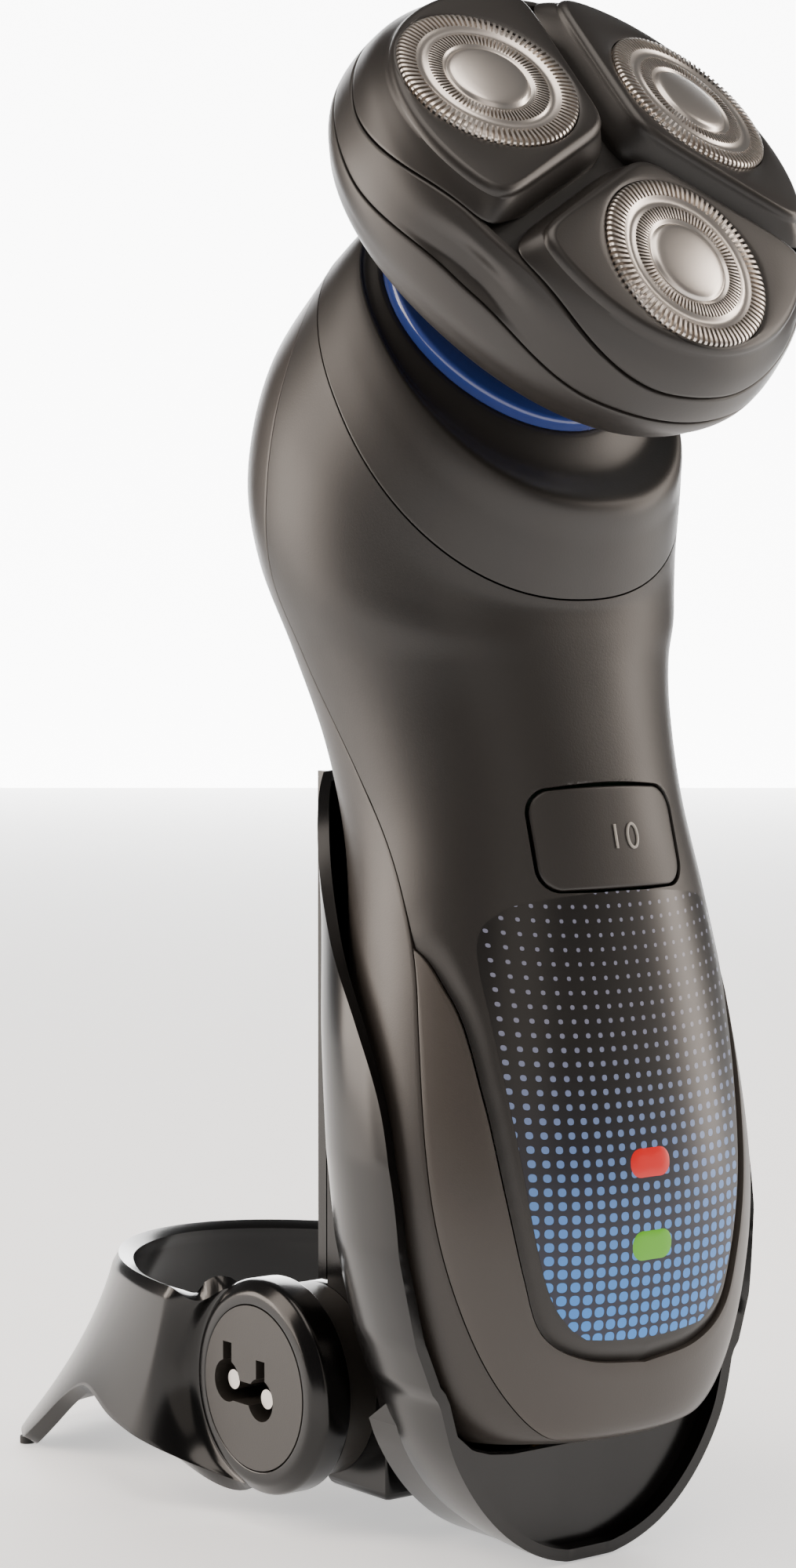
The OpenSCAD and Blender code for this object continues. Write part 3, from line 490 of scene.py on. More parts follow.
def even(points, count):
    """count points spaced evenly round a closed outline."""
    ring = np.concatenate([points, points[:1]])
    run = np.concatenate([[0], np.cumsum(np.linalg.norm(np.diff(ring, axis=0), axis=1))])
    at = np.linspace(0, run[-1], count, endpoint=False)
    return stack(np.interp(at, run, ring[:, 0]), np.interp(at, run, ring[:, 1]))


def crown(points, bulge):
    """Bows a flat outline's level edges, as the button's are."""
    out = points.copy()
    out[:, 1] += bulge * (1 - (points[:, 0] / (BUTTON_W / 2)) ** 2) * points[:, 1] / (BUTTON_H / 2)
    return out


def patch(name, outline_xz, middle_s, steps):
    """A closed lid over the front skin; steps are (grow, inset) from its underside to its top."""
    reach = np.linalg.norm(outline_xz, axis=1, keepdims=True)

    def ring(step, scale=1.0):
        grow, inset = step
        at = outline_xz * (1 + grow / reach) * scale
        t, b = handle_at(at[:, 0], at[:, 1] + middle_s)
        return handle_ring(t, b, inset)
    fills = np.linspace(0, 0.96, 13)
    rows = [ring(steps[0], f) for f in fills] + [ring(step) for step in steps]
    points = np.array(rows + [ring(steps[-1], f) for f in fills[::-1]])
    return sheet(name, place(HANDLE, np.concatenate([points, points[:, :1]], axis=1)))


button_outline = crown(even(rounded_box(BUTTON_W, BUTTON_H, BUTTON_CORNER), 200), 0.25)
cutter = patch("hole_cutter", button_outline, BUTTON_AT,
               [(1.4, 6), (0.8, 1.3), (0.42, 0.35), (0.38, 0.2), (0.45, 0.0), (0.9, -0.3), (0.9, -2)])
modify(front_shell, "BOOLEAN", object=cutter, operation="DIFFERENCE", solver="EXACT")
bpy.data.objects.remove(cutter)
done(front_shell, "handle", "soft_black", ["front_cover"])

button = patch("button_cap", button_outline, BUTTON_AT,
               [(-0.2, 1.5), (-0.1, 1.0), (0, 0.4), (-0.06, 0.14), (-0.2, 0.03), (-0.4, 0.0),
                (-0.7, 0.0)])
done(button, "button", "soft_black", ["power_button"],
     [finish("button_skin", (33, 30, 28), rough=0.44, grain=0.2, grain_mm=0.22)])


def stroke(name, path, half_w, height):
    """A thin raised line on the button, along a path of (x, height along the handle)."""
    path = np.array(path)
    ahead = np.gradient(path, axis=0)
    side = np.stack([-ahead[:, 1], ahead[:, 0]], 1)
    side /= np.linalg.norm(side, axis=1, keepdims=True)
    rows = []
    for share, up in ((-1, 0.5), (-1, -height * 0.5), (-0.6, -height), (0.6, -height),
                      (1, -height * 0.5), (1, 0.5), (-1, 0.5)):
        p = path + side * half_w * share
        t, b = handle_at(p[:, 0], p[:, 1])
        rows.append(handle_ring(t, b, up - 0.1))
    pts = np.array(rows).transpose(1, 0, 2)
    ends = [np.repeat(pts[i].mean(0, keepdims=True), pts.shape[1], 0)[None] for i in (0, -1)]
    return sheet(name, place(HANDLE, np.concatenate([ends[0], pts, ends[1]])))


turns = np.linspace(0, 2 * PI, 41)
glyph_x, glyph_h = 1.1, 1.35
glyph_line = 0.15, 0.06
zero = stroke("mark_zero", stack(glyph_x + 1.6 + 0.75 * np.cos(turns),
                                 BUTTON_AT + glyph_h * np.sin(turns)), *glyph_line)
one = stroke("mark_one", stack(np.full(9, glyph_x - 0.9),
                               np.linspace(BUTTON_AT - glyph_h, BUTTON_AT + glyph_h, 9)), *glyph_line)
done(join("button_mark", [zero, one]), "button", "soft_black", (), [MARK])

# grey trim: a U between the rear seam and the front panel
inner = spread(pull(panel_edge, -SEAM * 0.5), 160)
outer = spread(pull(np.concatenate([foot_turn, below[1:]]), SEAM), 160)
share = np.linspace(0, 1, 9)[None, :, None]
half_u = inner[:, None, :] * (1 - share) + outer[:, None, :] * share
sides = [handle_ring(half_u[..., 0], sign * half_u[..., 1]) for sign in (-1, 1)]
trim = sheet("trim_strip", place(HANDLE, np.concatenate([sides[0][::-1], sides[1][1:]])))
thicken(trim, SHELL_T, SHELL_EDGE, place(HANDLE, np.array([0, 0, 40.0])))
done(trim, "handle", "trim_grey", ["trim_frame"])

# rear shell: round the back from seam to seam, closed under the foot
t_rows = np.linspace(0, TOP, 150)
start = split_angle(t_rows)[:, None] + SEAM / along(HANDLE_KEYS, t_rows, 5)[:, None]
around = np.linspace(0, 1, 121)[None, :]
rear = handle_ring(t_rows[:, None], start + (2 * PI - 2 * start) * around)
caps = []
for k in (0.0, 0.3, 0.6, 0.85, 0.95):
    opening = start[0, 0] * max(0.0, 1 - 2.5 * (1 - k))
    ring = handle_ring(0.0, opening + (2 * PI - 2 * opening) * around[0])
    middle = np.array([0, 0.25, 0.2])
    caps.append(middle + (ring - middle) * k)
rear_shell = sheet("rear_shell", place(HANDLE, np.concatenate([np.array(caps), rear])))
thicken(rear_shell, SHELL_T, SHELL_EDGE, place(HANDLE, np.array([0, 0, 60.0])))
done(rear_shell, "handle", "side_black", ["rear_cover"])

# dotted window film
rows_u = np.concatenate([np.linspace(0, 0.06, 10)[:-1], np.linspace(0.06, 0.9, 40)[:-1],
                         np.linspace(0.9, 1, 16)])
cols_c = np.linspace(-1, 1, 61)
wx = along(WINDOW_KEYS, rows_u, 1)[:, None] * WINDOW_HALF_W * cols_c[None, :]
ws = np.broadcast_to((WINDOW_LOW + (WINDOW_HIGH - WINDOW_LOW) * rows_u)[:, None], wx.shape)
bow_share = smooth((rows_u - 0.7) / 0.3) - (1 - smooth(rows_u / 0.2))
bow = 1.2 * (1 - cols_c[None, :] ** 2) * bow_share[:, None]
wt, wb = handle_at(wx, ws + bow * 0.6)
film_points = handle_ring(wt, wb)
film = sheet("window_film", place(HANDLE, handle_ring(wt, wb, panel_inset(film_points) - 0.035)))
thicken(film, 0.3, 0, place(HANDLE, np.array([0, 0, 40.0])))
done(film, "handle", "window", ["display_window"])

for name, node, at, slot in (("charge_lens", "charge_light", GREEN_AT, "green_light"),
                             ("low_lens", "low_light", RED_AT, "red_light")):
    lens = patch(name, even(rounded_box(LIGHT_W, LIGHT_H, 1.5), 96), at,
                 [(-0.1, 0.3), (0, 0.1), (0, -0.02), (-0.3, -0.08), (-1.2, -0.1)])
    done(lens, "handle", slot, [node])

# ---------- neck ----------

bowl = [place(turn("x", HEAD_TILT), np.array([0, RING_SHIFT + k * (RING_OUT + 0.4), -14.2])) + HEAD_AT
        for k in (-1, 1)]
COLLAR_KEYS = np.array([
    [0, -16.2, 92.4, 3, 139.5, 23.5], [1, -19.4, 98, 0.6, 141, 21.8], [2, -21.6, 102.2, -1, 142, 20],
    [3, bowl[0][1] - 0.6, bowl[0][2] - 4.4, bowl[1][1] + 0.8, bowl[1][2] + 0.6, 18.6],
    [4, bowl[0][1], bowl[0][2], bowl[1][1], bowl[1][2], 17]])


def collar_ring(t, b, inset, power=ROUNDING):
    return skin_ring(COLLAR_KEYS, t, b, inset, power)


full = np.linspace(0, 2 * PI, 145)
rows = [collar_ring(0.0, full, i) for i in (22, 12, 4, 0.35)]
rows += [collar_ring(t, full, 0.12 * (1 - smooth(t / 0.05)), ROUNDING + 0.1 * smooth((t - 2) / 2))
         for t in np.concatenate([np.linspace(0.0, 0.08, 4)[1:], np.linspace(0.1, 2, 26),
                                  np.linspace(2.05, 4, 26)])]
rows += [collar_ring(4.0, full, i, 1.0) for i in (0.3, 6, 12, 16.9)]
collar = sheet("collar_skin", place(HANDLE, np.array(rows)))
done(collar, "handle", "soft_black", ["neck_collar"],
     [finish("collar_skin", (29, 26, 24), rough=0.44, grain=0.2)])


def revolve(name, profile, frame_of):
    """A closed solid turned round a frame's z axis from (radius, height) pairs."""
    r, z = np.array(profile, float).T[:, :, None]
    return sheet(name, place(frame_of, polar(r, np.linspace(0, 2 * PI, AROUND + 1), z)))


def soft_corner(before, at, after, r):
    """Points round a profile's corner, leaving each side r mm before it."""
    a, c, b = np.array(before), np.array(at), np.array(after)
    p = c + (a - c) / np.linalg.norm(a - c) * r
    q = c + (b - c) / np.linalg.norm(b - c) * r
    return [tuple((1 - k) ** 2 * p + 2 * k * (1 - k) * c + k * k * q) for k in np.linspace(0, 1, 5)]


def rounded_profile(corners, radii):
    out = []
    n = len(corners)
    for i, (c, r) in enumerate(zip(corners, radii)):
        if r == 0:
            out.append(c)
        else:
            out += soft_corner(corners[(i - 1) % n], c, corners[(i + 1) % n], r)
    return out


ring_profile = rounded_profile([(RING_IN, RING_LOW), (RING_OUT, RING_LOW), (RING_OUT, RING_HIGH),
                                (RING_IN, RING_HIGH)], [0.2, 0.3, 0.6, 0.3])
ring_profile.append(ring_profile[0])
blue = revolve("blue_ring", ring_profile, HEAD @ shift(0, RING_SHIFT, 0))
done(blue, "handle", "blue", ["neck_ring"])

# ---------- head ----------

def off_unit(a):
    """Degrees from the nearest shaving unit's middle, 0 to 60."""
    return np.abs((np.degrees(a) - 270 + 60) % 120 - 60)


def seam_z(a):
    return 0.5 + 2.6 * smooth((off_unit(a) - 22) / 34)


def pod_z(a):
    return 4.2 + 4.8 * smooth((off_unit(a) - 8) / 44)


def head_r(z):
    z = np.clip(z, HEAD_KEYS[0, 0], HEAD_KEYS[-1, 0])
    return along(HEAD_KEYS, z, 1)


def lobed(r, a):
    return r + np.cos(3 * (a - 1.5 * PI)) * r / HEAD_R


a = np.linspace(0, 2 * PI, 241)
low_edge = seam_z(a) - SEAM
rows = [polar(lobed(r, a), a, z) for r, z in ((0.01, -7.9), (12, -7.9), (18.5, -7.85))]
for k in np.linspace(0, 1, 26):
    z = POCKET_BASE + (low_edge - POCKET_BASE - LIP_H) * k
    rows.append(polar(lobed(head_r(z), a), a, z))
for dr, dz in ((0.04, 0.1), (0.15, 0.18), (1.5, 0.2), (1.7, 0.0)):
    rows.append(polar(lobed(head_r(low_edge), a) - dr, a, low_edge - LIP_H + dz))
for k in np.linspace(0.1, 1, 12):
    z = low_edge - LIP_H + (POCKET_FLOOR - low_edge + LIP_H) * k
    rows.append(polar(lobed(head_r(z), a) - POCKET_WALL, a, z))
rows.append(polar(0.01, a, POCKET_FLOOR))
base = sheet("hair_pocket", place(HEAD, np.array(rows)))
done(base, "head", "side_black", ["head_base"],
     [finish("head_skin", (31, 28, 26), rough=0.43, grain=0.2)])


def notch(a, z):
    """Finger notch pressed into the frame under each gap's end."""
    side = np.exp(-((off_unit(a) - 60) / 11) ** 2)
    over = z - seam_z(a)
    return 1.1 * side * smooth((over - 0.1) / 0.8) * (1 - smooth((over - 2.4) / 2.2))


rows = []
for dr, dz in ((3.4, 1.2), (1.5, 0.0), (0.15, 0.02), (0.04, 0.1)):
    rows.append(polar(lobed(head_r(seam_z(a)), a) - dr, a, seam_z(a) + SEAM + dz))
for k in np.linspace(0, 1, 30):
    z = seam_z(a) + SEAM + LIP_H + (pod_z(a) - LIP_H - seam_z(a) - 2 * SEAM - LIP_H) * k
    rows.append(polar(lobed(head_r(z), a) - notch(a, z), a, z))
for dr, dz in ((0.05, 0.1), (0.2, 0.18), (0.8, 0.2), (2.2, -1.2), (3.2, -1.6)):
    rows.append(polar(lobed(head_r(pod_z(a)), a) - dr, a, pod_z(a) - SEAM - LIP_H + dz))
rows.append(rows[0])
band = sheet("frame_band", place(HEAD, np.array(rows)))
# webs deep in the gaps between the pods; their finish is darker than the frame's own, painted shade in the
# gaps
webs = []
for mid in UNITS.values():
    out = turn("z", mid + 60)
    rows = []
    for x in np.concatenate([[0.0], np.linspace(0.0, WEB_REACH, 24), [WEB_REACH]]):
        top = 9.3 - 0.9 * smooth(x / 25) - 0.5 * smooth((x - 20) / 6)
        w = 2.9 + 1.6 * smooth((x - 15) / 10)
        loop = rounded_box(2 * w, 5.0, 0.8, 5)
        loop = np.concatenate([loop, loop[:1]])
        rows.append(stack(x + 0 * loop[:, 0], loop[:, 0], loop[:, 1] + top - 2.5))
    for i in (0, -1):
        rows[i] = rows[i] * 0 + rows[i].mean(0)
    webs.append(sheet("web", place(HEAD @ out, np.array(rows))))
done(join("frame_webs", webs), "frame", "side_black", (),
     [finish("web_painted_shade", (15, 13, 12), rough=0.45)])
done(band, "frame", "side_black", ["head_frame"],
     [finish("frame_skin", (29, 26, 24), rough=0.4, grain=0.15)])

POD_SKIN = finish("pod_skin", (28, 25, 23), rough=0.38, grain=0.12)

def pod_solid(name, angle):
    """One shaving unit's body: the head's skin outside, two sloping flanks inside."""
    to_head = unit_place(angle)
    phi = np.linspace(0, 2 * PI, 181)
    way = stack(np.cos(phi), np.sin(phi), 0 * phi)
    centre = place(to_head, np.zeros(3))
    ways = way @ to_head[:3, :3].T

    def ring(rho, zeta):
        return way * (rho + 0 * phi)[:, None] + stack(0 * phi, 0 * phi, zeta + 0 * phi)

    def outer(zeta):
        def inside(rho):
            p = place(to_head, ring(rho, zeta))
            return np.hypot(p[:, 0], p[:, 1]) < lobed(head_r(p[:, 2]), np.arctan2(p[:, 1], p[:, 0]))
        return bisect(np.zeros_like(phi), np.full_like(phi, 40), inside)

    def flank(zeta, side):
        n = np.array([math.cos(math.radians(angle + side)), math.sin(math.radians(angle + side)), 0])
        share = np.clip(-zeta / GAP_DEPTH, 0, 1)
        depth = smooth(share) * 0.5 + share * 0.5
        gap = GAP_TOP + (GAP_LOW - GAP_TOP) * depth
        toward = -(ways @ n)
        up = to_head[:3, 2] @ n * zeta
        return np.where(toward > 0.02, (centre @ n + up - gap) / np.maximum(toward, 0.02), 500)

    def radius(zeta):
        zeta = zeta + 0 * phi
        parts = [outer(zeta), flank(zeta, 30), flank(zeta, -30)]
        p = 11
        return sum(d ** -p for d in parts) ** (-1 / p)

    def lower():
        zeta = np.full_like(phi, -5.0)
        for _ in range(6):
            p = place(to_head, ring(radius(zeta), zeta))
            az = np.arctan2(p[:, 1], p[:, 0])
            wanted = np.where(np.hypot(p[:, 0], p[:, 1]) > 20, pod_z(az) + SEAM, 8.4)
            zeta = np.clip(zeta + 0.8 * (wanted - p[:, 2]), -9, -1.3)
        return zeta
    low = lower()
    for _ in range(6):
        low = (np.roll(low[:-1], 1) + 2 * low[:-1] + np.roll(low[:-1], -1)) / 4
        low = np.append(low, low[0])
    rows = [ring(0, -6.0), ring(9.0, np.minimum(low, -3)), ring(radius(low) - 0.9, low - 0.1)]
    for dr, dz in ((0.25, 0.0), (0.08, 0.05), (0.0, 0.2)):
        rows.append(ring(radius(low + dz) - dr, low + dz))
    for k in np.linspace(0.06, 1, 12):
        z = low + LIP_H + (-FILLET - low - LIP_H) * k
        rows.append(ring(radius(z), z))
    r_top = radius(-FILLET + 0 * phi)
    for c in np.linspace(0.12, 1, 9) * PI / 2:
        rows.append(ring(r_top - FILLET * (1 - math.cos(c)), -FILLET + FILLET * 0.92 * math.sin(c)))
    hole, top, well = GUARD_R + 0.12, -FILLET * 0.08, -1.4
    for k, z in ((0.55, top + 0.05), (0.85, top + 0.02)):
        rows.append(ring((r_top - FILLET) * (1 - k) + (hole + 0.2) * k, z))
    for r, z in ((hole + 0.15, top), (hole + 0.03, top - 0.05), (hole, top - 0.2), (hole, well),
                 (6, well), (0.0, well)):
        rows.append(ring(r, z))
    return sheet(name, place(HEAD @ to_head, np.array(rows)))


def guard_solid(name, angle):
    """A slotted guard: serrated outer ring, smooth groove, slotted inner ring, polished cap; the slot floors
    carry a near-black finish, painted shade in the slots.
    """
    g = GUARD_R
    profile = np.array([
        (0, -1.0), (g - 0.4, -1.0), (g - 0.1, -0.9), (g, -0.7), (g, -0.3), (g, -0.05), (g - 0.03, 0.12),
        (g - 0.12, 0.26), (g - 0.28, 0.36), (g - 0.5, 0.41), (g - 0.8, 0.43), (g - 1.2, 0.43),
        (g - 1.6, 0.42), (g - 1.95, 0.40), (g - 2.1, 0.36), (g - 2.3, 0.28), (g - 2.5, 0.2),
        (g - 2.8, 0.15), (g - 3.1, 0.17), (g - 3.3, 0.26), (g - 3.5, 0.36), (g - 3.65, 0.40),
        (g - 3.9, 0.42), (g - 4.4, 0.42), (g - 4.9, 0.41), (g - 5.1, 0.38), (g - 5.25, 0.3),
        (g - 5.4, 0.2), (g - 5.6, 0.16), (g - 5.72, 0.24), (g - 5.85, 0.42), (g - 6.1, 0.56),
        (g - 6.6, 0.66), (g - 7.4, 0.74), (g - 8.6, 0.82), (g - 9.6, 0.85), (0, 0.86)])
    r, z = profile[:, :1], profile[:, 1:]
    outer_cut = (r > g - 2.0) & (r < g + 0.01) & (z > -0.1)
    cut = outer_cut | ((r > g - 5.0) & (r < g - 3.55))
    cols = SLOTS * STEPS
    index = np.arange(cols + 1) % STEPS
    pit = (index == 1) | (index == 2)
    # ridge between columns 3 and 0, pit between 1 and 2, steep walls between them
    sideways = np.array([0.45, -0.35, 0.35, -0.45])[index]
    points = polar(r - np.where(pit & outer_cut & (r > g - 0.3), 0.28, 0.0),
                   np.linspace(0, 2 * PI, cols + 1) + sideways * (2 * PI / cols),
                   z - np.where(pit & cut, 0.55, 0.0))
    # the slot floors take the second, near-black finish: painted shade
    parts = np.zeros((len(profile) - 1, cols), int)
    parts[np.ix_((cut[:-1] & cut[1:])[:, 0], index[:-1] == 1)] = 1
    return sheet(name, place(HEAD @ unit_place(angle), points), parts)


for unit, angle in UNITS.items():
    done(pod_solid("pod_skin_" + unit, angle), "pod_" + unit, "side_black", ["pod_" + unit],
         [POD_SKIN])
    done(guard_solid("guard_skin_" + unit, angle), "pod_" + unit, "steel", ["guard_" + unit],
         [MATERIALS["steel"], SLOT_PAINTED_SHADE], angle=30)

# ---------- stand ----------

WORLD = shift(0, -MIDDLE_Y, 0)
HINGE_Y, HINGE_Z, RING_R, BARREL_R = 1, 16.4, 12.6, 9.6
RING_FACE, RING_BACK = 22, 17.2
CRADLE_H, CRADLE_WALL = 88, 1.35
SPINE_HALF_W, SPINE_REAR_Y, DRUM_R = 12.5, -0.6, 11.3
# [height, middle y, half-width, half-depth] of the cradle's outside
CRADLE_KEYS = np.array([
    [0, -33, 3.6, 3], [1.6, -33, 9, 9], [4, -33, 12.4, 16], [7, -32.6, 15.2, 21],
    [12, -32, 18.4, 23.4], [22, -31, 22.2, 23.4], [34, -28.5, 25, 21.2], [48, -25.6, 26.2, 19.2],
    [60, -23.2, 25.4, 18.6], [74, -20.6, 23.2, 18.6], [88, -17.8, 23, 18.8], [100, -15, 24, 19]])
# [height, y] of its open front edge
RIM_KEYS = np.array([[-2, -32.5], [0, -33.3], [4, -33.8], [22, -33.4], [38, -32], [46, -30.6], [54, -28],
                     [62, -23], [70, -16], [78, -9.5], [88, -2], [100, 8]])
# [station, lower edge] round the foot's loop
FOOT_LOW_KEYS = np.array([[0, 7], [14, 9], [28, 11], [36, 8], [43, 0.9], [50, 0.9], [58, 3], [90, 4]])
FOOT_HALF_W, FOOT_REACH, FOOT_RIM_Z, FOOT_WALL = 25, 64, 26.5, 2.0


def cradle_half_w(z):
    """Half-width of the cradle, never less than the docked handle and a wall."""
    lean = math.radians(DOCK_LEAN)
    s = np.clip((z - HANDLE_FOOT[2]) / math.cos(lean), 0, 90)
    mid_s = (HANDLE_KEYS[:, 2] + HANDLE_KEYS[:, 4]) / 2
    handle_w = np.interp(s, mid_s, HANDLE_KEYS[:, 5]) + CRADLE_WALL + 0.45
    bowl_w = 23.4 * np.sqrt(np.clip(1 - (1 - np.clip(z, 0.02, 30) / 30) ** 2, 0, 1))
    high = smooth((z - 13) / 9)
    form_w = bowl_w * (1 - high) + along(CRADLE_KEYS, z, 2) * high
    handle_w = handle_w * smooth((z - 14) / 8)
    return (form_w ** 40 + handle_w ** 40) ** (1 / 40)


def cradle_point(z, a):
    return stack(cradle_half_w(z) * signed_power(np.cos(a), ROUNDING),
                 along(CRADLE_KEYS, z, 1)
                 + along(CRADLE_KEYS, z, 3) * signed_power(np.sin(a), ROUNDING), z)


def rim_angle(z):
    """Angle of the open edge on the right-hand side, 90 degrees at the back."""
    share = (along(RIM_KEYS, z, 1) - along(CRADLE_KEYS, z, 1)) / along(CRADLE_KEYS, z, 3)
    return np.arcsin(np.clip(signed_power(share, 1 / ROUNDING), -1, 0.999))


def cradle_side(z, k, side):
    """Point on one side at height z, k from the front edge to the middle of the back."""
    p = cradle_point(z, rim_angle(z) + (PI / 2 - rim_angle(z)) * k)
    return p * np.array([side, 1, 1])


heights = np.concatenate([np.linspace(0.4, 3, 8)[:-1], np.linspace(3, CRADLE_H, 100)])
ks = np.concatenate([np.linspace(0, 0.06, 5)[:-1], np.linspace(0.06, 1, 50)])
side_rows = [np.array([cradle_side(z, ks, side) for z in heights]) for side in (-1, 1)]
floor_rows = []
for q in np.linspace(-1, 1, 21)[1:-1]:
    left, right = cradle_side(0.4, ks, -1), cradle_side(0.4, ks, 1)
    row = left * (1 - q) / 2 + right * (1 + q) / 2
    row[:, 2] = 0.4 - 0.12 * (1 - q ** 8)
    floor_rows.append(row)
cradle = sheet("cradle_shell", place(WORLD, np.concatenate(
    [side_rows[0][::-1], np.array(floor_rows), side_rows[1]])))
flip_if_inward(cradle, place(WORLD, np.array([0, -26, 40.0])))
modify(cradle, "SOLIDIFY", thickness=CRADLE_WALL * MM, offset=-1, use_even_offset=False)
modify(cradle, "BEVEL", width=0.5 * MM, segments=3, limit_method="ANGLE",
       angle_limit=math.radians(50))

# recessed face and floor under the docked handle
up = np.linspace(0.5, 45, 200)
xs = np.linspace(-19.6, 19.6, 61)
low_z = np.interp(np.abs(xs) + 1.0, cradle_half_w(up), up)
top_z = np.interp(np.abs(xs), [0, 10, 13, 15.5, 18, 20],
                  [13.6, 13.6, 14.0, 14.8, 17.0, 19.6]) - 0.15
low_z = np.minimum(np.maximum(low_z, 0.5), top_z - 0.05)
rows = []
for x, z0, z1 in zip(xs, low_z, top_z):
    y0, y1 = float(along(RIM_KEYS, z0, 1)) + 2.2, float(along(RIM_KEYS, z1, 1)) + 2.2
    rows.append([(x, y0, z0), (x, y1, z1 - 0.3), (x, y1 + 0.3, z1), (x, -22, z1), (x, -18, z0), (x, y0, z0)])
rows = ([[(xs[0] - 0.01, -25, float(low_z[0]))] * 6] + rows
        + [[(xs[-1] + 0.01, -25, float(low_z[-1]))] * 6])
block = sheet("cradle_floor", place(WORLD, np.array(rows, float)))
cradle = join("cradle_shell", [cradle, block])
done(cradle, "stand", "gloss_black", ["stand_cradle"], angle=35)


def prism(name, side, half_w, edge):
    """A solid of the (y, z) outline between -half_w and half_w, with softened edges."""
    loop = np.array(side + side[:1], float)
    mid = loop[:-1].mean(0)
    rows = [stack(x, mid[0] + (loop[:, 0] - mid[0]) * k, mid[1] + (loop[:, 1] - mid[1]) * k)
            for x, k in ((-half_w, 0), (-half_w, 1), (half_w, 1), (half_w, 0))]
    obj = sheet(name, place(WORLD, np.array(rows)))
    modify(obj, "BEVEL", width=edge * MM, segments=4, limit_method="ANGLE",
           angle_limit=math.radians(30))
    return obj


def barrel(name, profile):
    """A solid turned about the hinge's axis from (radius, x) pairs."""
    axis = np.eye(4)
    axis[:3, :3] = np.array([[0, 0, 1], [1, 0, 0], [0, 1, 0]])
    return revolve(name, profile, WORLD @ shift(0, HINGE_Y, HINGE_Z) @ axis)


spine = prism("spine_body", [(-12, 4), (SPINE_REAR_Y, 4), (SPINE_REAR_Y, CRADLE_H - 0.6),
                             (-5, CRADLE_H - 0.6), (-9, 60), (-12, 30)], SPINE_HALF_W, 1.0)
drum = barrel("drum", rounded_profile(
    [(0, -SPINE_HALF_W), (DRUM_R, -SPINE_HALF_W), (DRUM_R, SPINE_HALF_W), (0, SPINE_HALF_W)],
    [0, 0.7, 0.7, 0]))
done(join("spine_body", [spine, drum]), "stand", "gloss_black", ["stand_spine"], angle=35)

# foot: loop, S-curved arms and hinge rings
def foot_plan(t, u):
    flare = (1 - u) ** 1.5
    p = 1 - 0.3 * (1 - u)
    w = FOOT_HALF_W + 3.3 * flare
    reach = 39 + (FOOT_REACH - 39 - 8) * flare
    return -w * signed_power(np.cos(t), p), HINGE_Y + 8 + reach * signed_power(np.sin(t), p)


START_T = 9
u_rows = np.linspace(0, 1, 33)
stations = np.linspace(START_T, 180 - START_T, 241)
mirror = np.where(stations > 90, 180 - stations, stations)
low = np.maximum(1.3, along(FOOT_LOW_KEYS, mirror, 1))
z = low[None, :] + (FOOT_RIM_Z - low[None, :]) * u_rows[:, None]
fx, fy = foot_plan(np.radians(stations)[None, :] + 0 * z, z / FOOT_RIM_Z)
loop = stack(fx, fy, z)
lip = 0.5 * smooth((u_rows - 0.93) / 0.07)[:, None]
loop[..., 0] += lip * np.cos(np.radians(stations))[None, :]
loop[..., 1] -= lip * np.sin(np.radians(stations))[None, :]
end = loop[:, 0]
theta = np.radians(-78 + (58 + 78) * u_rows)
root_r = RING_R - 0.25
root = stack(-(RING_FACE - 1.2), HINGE_Y + root_r * np.cos(theta), HINGE_Z + root_r * np.sin(theta))
k = np.linspace(0, 1, 30)[None, :, None]
leave = loop[:, 0] - loop[:, 2]
leave /= np.linalg.norm(leave, axis=1, keepdims=True)
span = np.linalg.norm(end - root, axis=1, keepdims=True)
t0 = (span * np.array([[0.0, 1.0, 0.0]]))[:, None]
t1 = (-leave * span)[:, None]
arm = ((2 * k ** 3 - 3 * k ** 2 + 1) * root[:, None] + (k ** 3 - 2 * k ** 2 + k) * t0
       + (3 * k ** 2 - 2 * k ** 3) * end[:, None] + (k ** 3 - k ** 2) * t1)
arm[..., 2] -= 1.6 * (np.sin(PI * k[..., 0]) ** 2) * u_rows[:, None] ** 3
other = arm[:, ::-1] * np.array([-1, 1, 1])
foot = sheet("foot_loop", place(WORLD, np.concatenate([arm[:, :-1], loop, other[:, 1:]], axis=1)))
flip_if_inward(foot, place(WORLD, np.array([0, 25, 14.0])))
modify(foot, "SOLIDIFY", thickness=FOOT_WALL * MM, offset=-1, use_even_offset=True)
modify(foot, "BEVEL", width=0.6 * MM, segments=3, limit_method="ANGLE", angle_limit=math.radians(45))
rings = []
for side in (-1, 1):
    inner = BARREL_R + 0.08
    prof = rounded_profile([(inner, side * RING_BACK), (RING_R, side * RING_BACK),
                            (RING_R, side * (RING_FACE - 1.3)), (RING_R - 1.5, side * RING_FACE),
                            (inner, side * RING_FACE)], [0, 0.3, 0.5, 0.5, 0.25])
    prof.append(prof[0])
    rings.append(barrel("ring", prof))
done(join("foot_loop", [foot] + rings), "foot", "gloss_black", ["stand_foot"], angle=35)

# ---------- CAD nodes that stay in view take the same finishes ----------

for obj in nodes.values():
    for i, m in enumerate(obj.data.materials):
        if m and m.name.split(".")[0] in MATERIALS:
            obj.data.materials[i] = MATERIALS[m.name.split(".")[0]]
for name in ("mains_inlet", "barrel_cap"):
    nodes[name].data.materials[0] = DISC

# ---------- floor, camera, light ----------

bpy.ops.object.select_all(action="DESELECT")
bpy.ops.mesh.primitive_plane_add(size=6, location=(0, 0, 0))
floor = bpy.context.object
floor.name = "floor"
floor.data.materials.append(
    glow(finish("floor_pale", (250, 250, 250), rough=0.8), (255, 255, 255), 0.6))

AIM = np.array([0.45, -1.56, 85.9]) * MM
AZ, EL, AWAY, LENS = -38, 3.2, 0.421, 81


def seen_from(az, el, away):
    az, el = math.radians(az), math.radians(el)
    return AIM + away * np.array([math.sin(az) * math.cos(el), -math.cos(az) * math.cos(el),
                                  math.sin(el)])


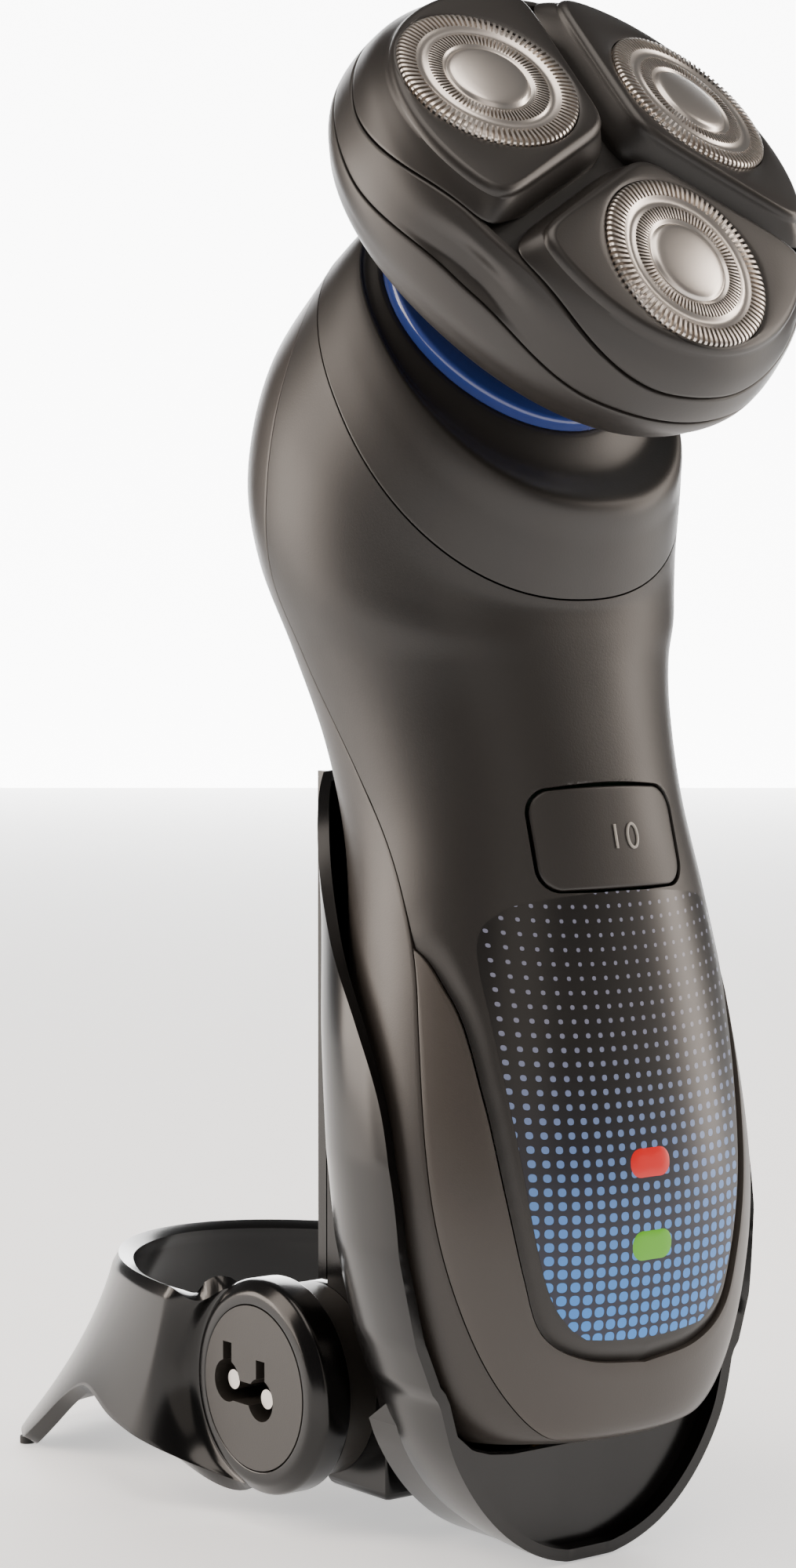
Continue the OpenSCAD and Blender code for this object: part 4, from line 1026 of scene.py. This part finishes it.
def aim(obj, at, target):
    obj.location = Vector(at)
    obj.rotation_euler = (Vector(target) - Vector(at)).to_track_quat("-Z", "Y").to_euler()


bpy.ops.object.camera_add()
camera = bpy.context.object
camera.data.lens = LENS
camera.data.sensor_width = 36
aim(camera, seen_from(AZ, EL, AWAY), AIM)
bpy.context.scene.camera = camera


def lamp(name, az, el, away, size, watts, tall=None, rgb=(255, 255, 255)):
    bpy.ops.object.light_add(type="AREA")
    obj = bpy.context.object
    obj.name = name
    obj.data.energy = watts
    obj.data.color = linear(rgb)[:3]
    obj.data.shape = "RECTANGLE"
    obj.data.size = size
    obj.data.size_y = tall or size
    aim(obj, seen_from(az, el, away), AIM)


WARM = (255, 241, 228)
lamp("key_left", AZ - 80, 26, 0.8, 0.4, 6.5, 0.8, WARM)
lamp("top", AZ + 10, 74, 0.8, 0.6, 4.5, None, (255, 243, 232))
lamp("foot_key", AZ - 100, 8, 0.7, 0.3, 2.6, 0.3, WARM)
lamp("right_rim", AZ + 104, 14, 0.8, 0.2, 5.5, 0.8, WARM)
lamp("front_fill", AZ + 26, 16, 1.0, 0.5, 1.3, 0.9, WARM)

bright = bpy.data.materials.new("backdrop_white")
bright.use_nodes = True
glow(bright, (255, 255, 255), 9)
bpy.ops.mesh.primitive_plane_add(size=1)
wall = bpy.context.object
wall.name = "backdrop"
wall.scale = (1.3, 1.7, 1)
aim(wall, seen_from(AZ + 180, 0, 1.5), AIM)
wall.data.materials.append(bright)

world = bpy.data.worlds.new("white_room")
bpy.context.scene.world = world
world.use_nodes = True
wt_nodes = world.node_tree
back = wt_nodes.nodes["Background"]
back.inputs["Color"].default_value = (1, 1, 1, 1)
path = wt_nodes.nodes.new("ShaderNodeLightPath")
power = wt_nodes.nodes.new("ShaderNodeMapRange")
power.inputs["To Min"].default_value = 0.13
power.inputs["To Max"].default_value = 4.0
wt_nodes.links.new(path.outputs["Is Camera Ray"], power.inputs["Value"])
wt_nodes.links.new(power.outputs["Result"], back.inputs["Strength"])
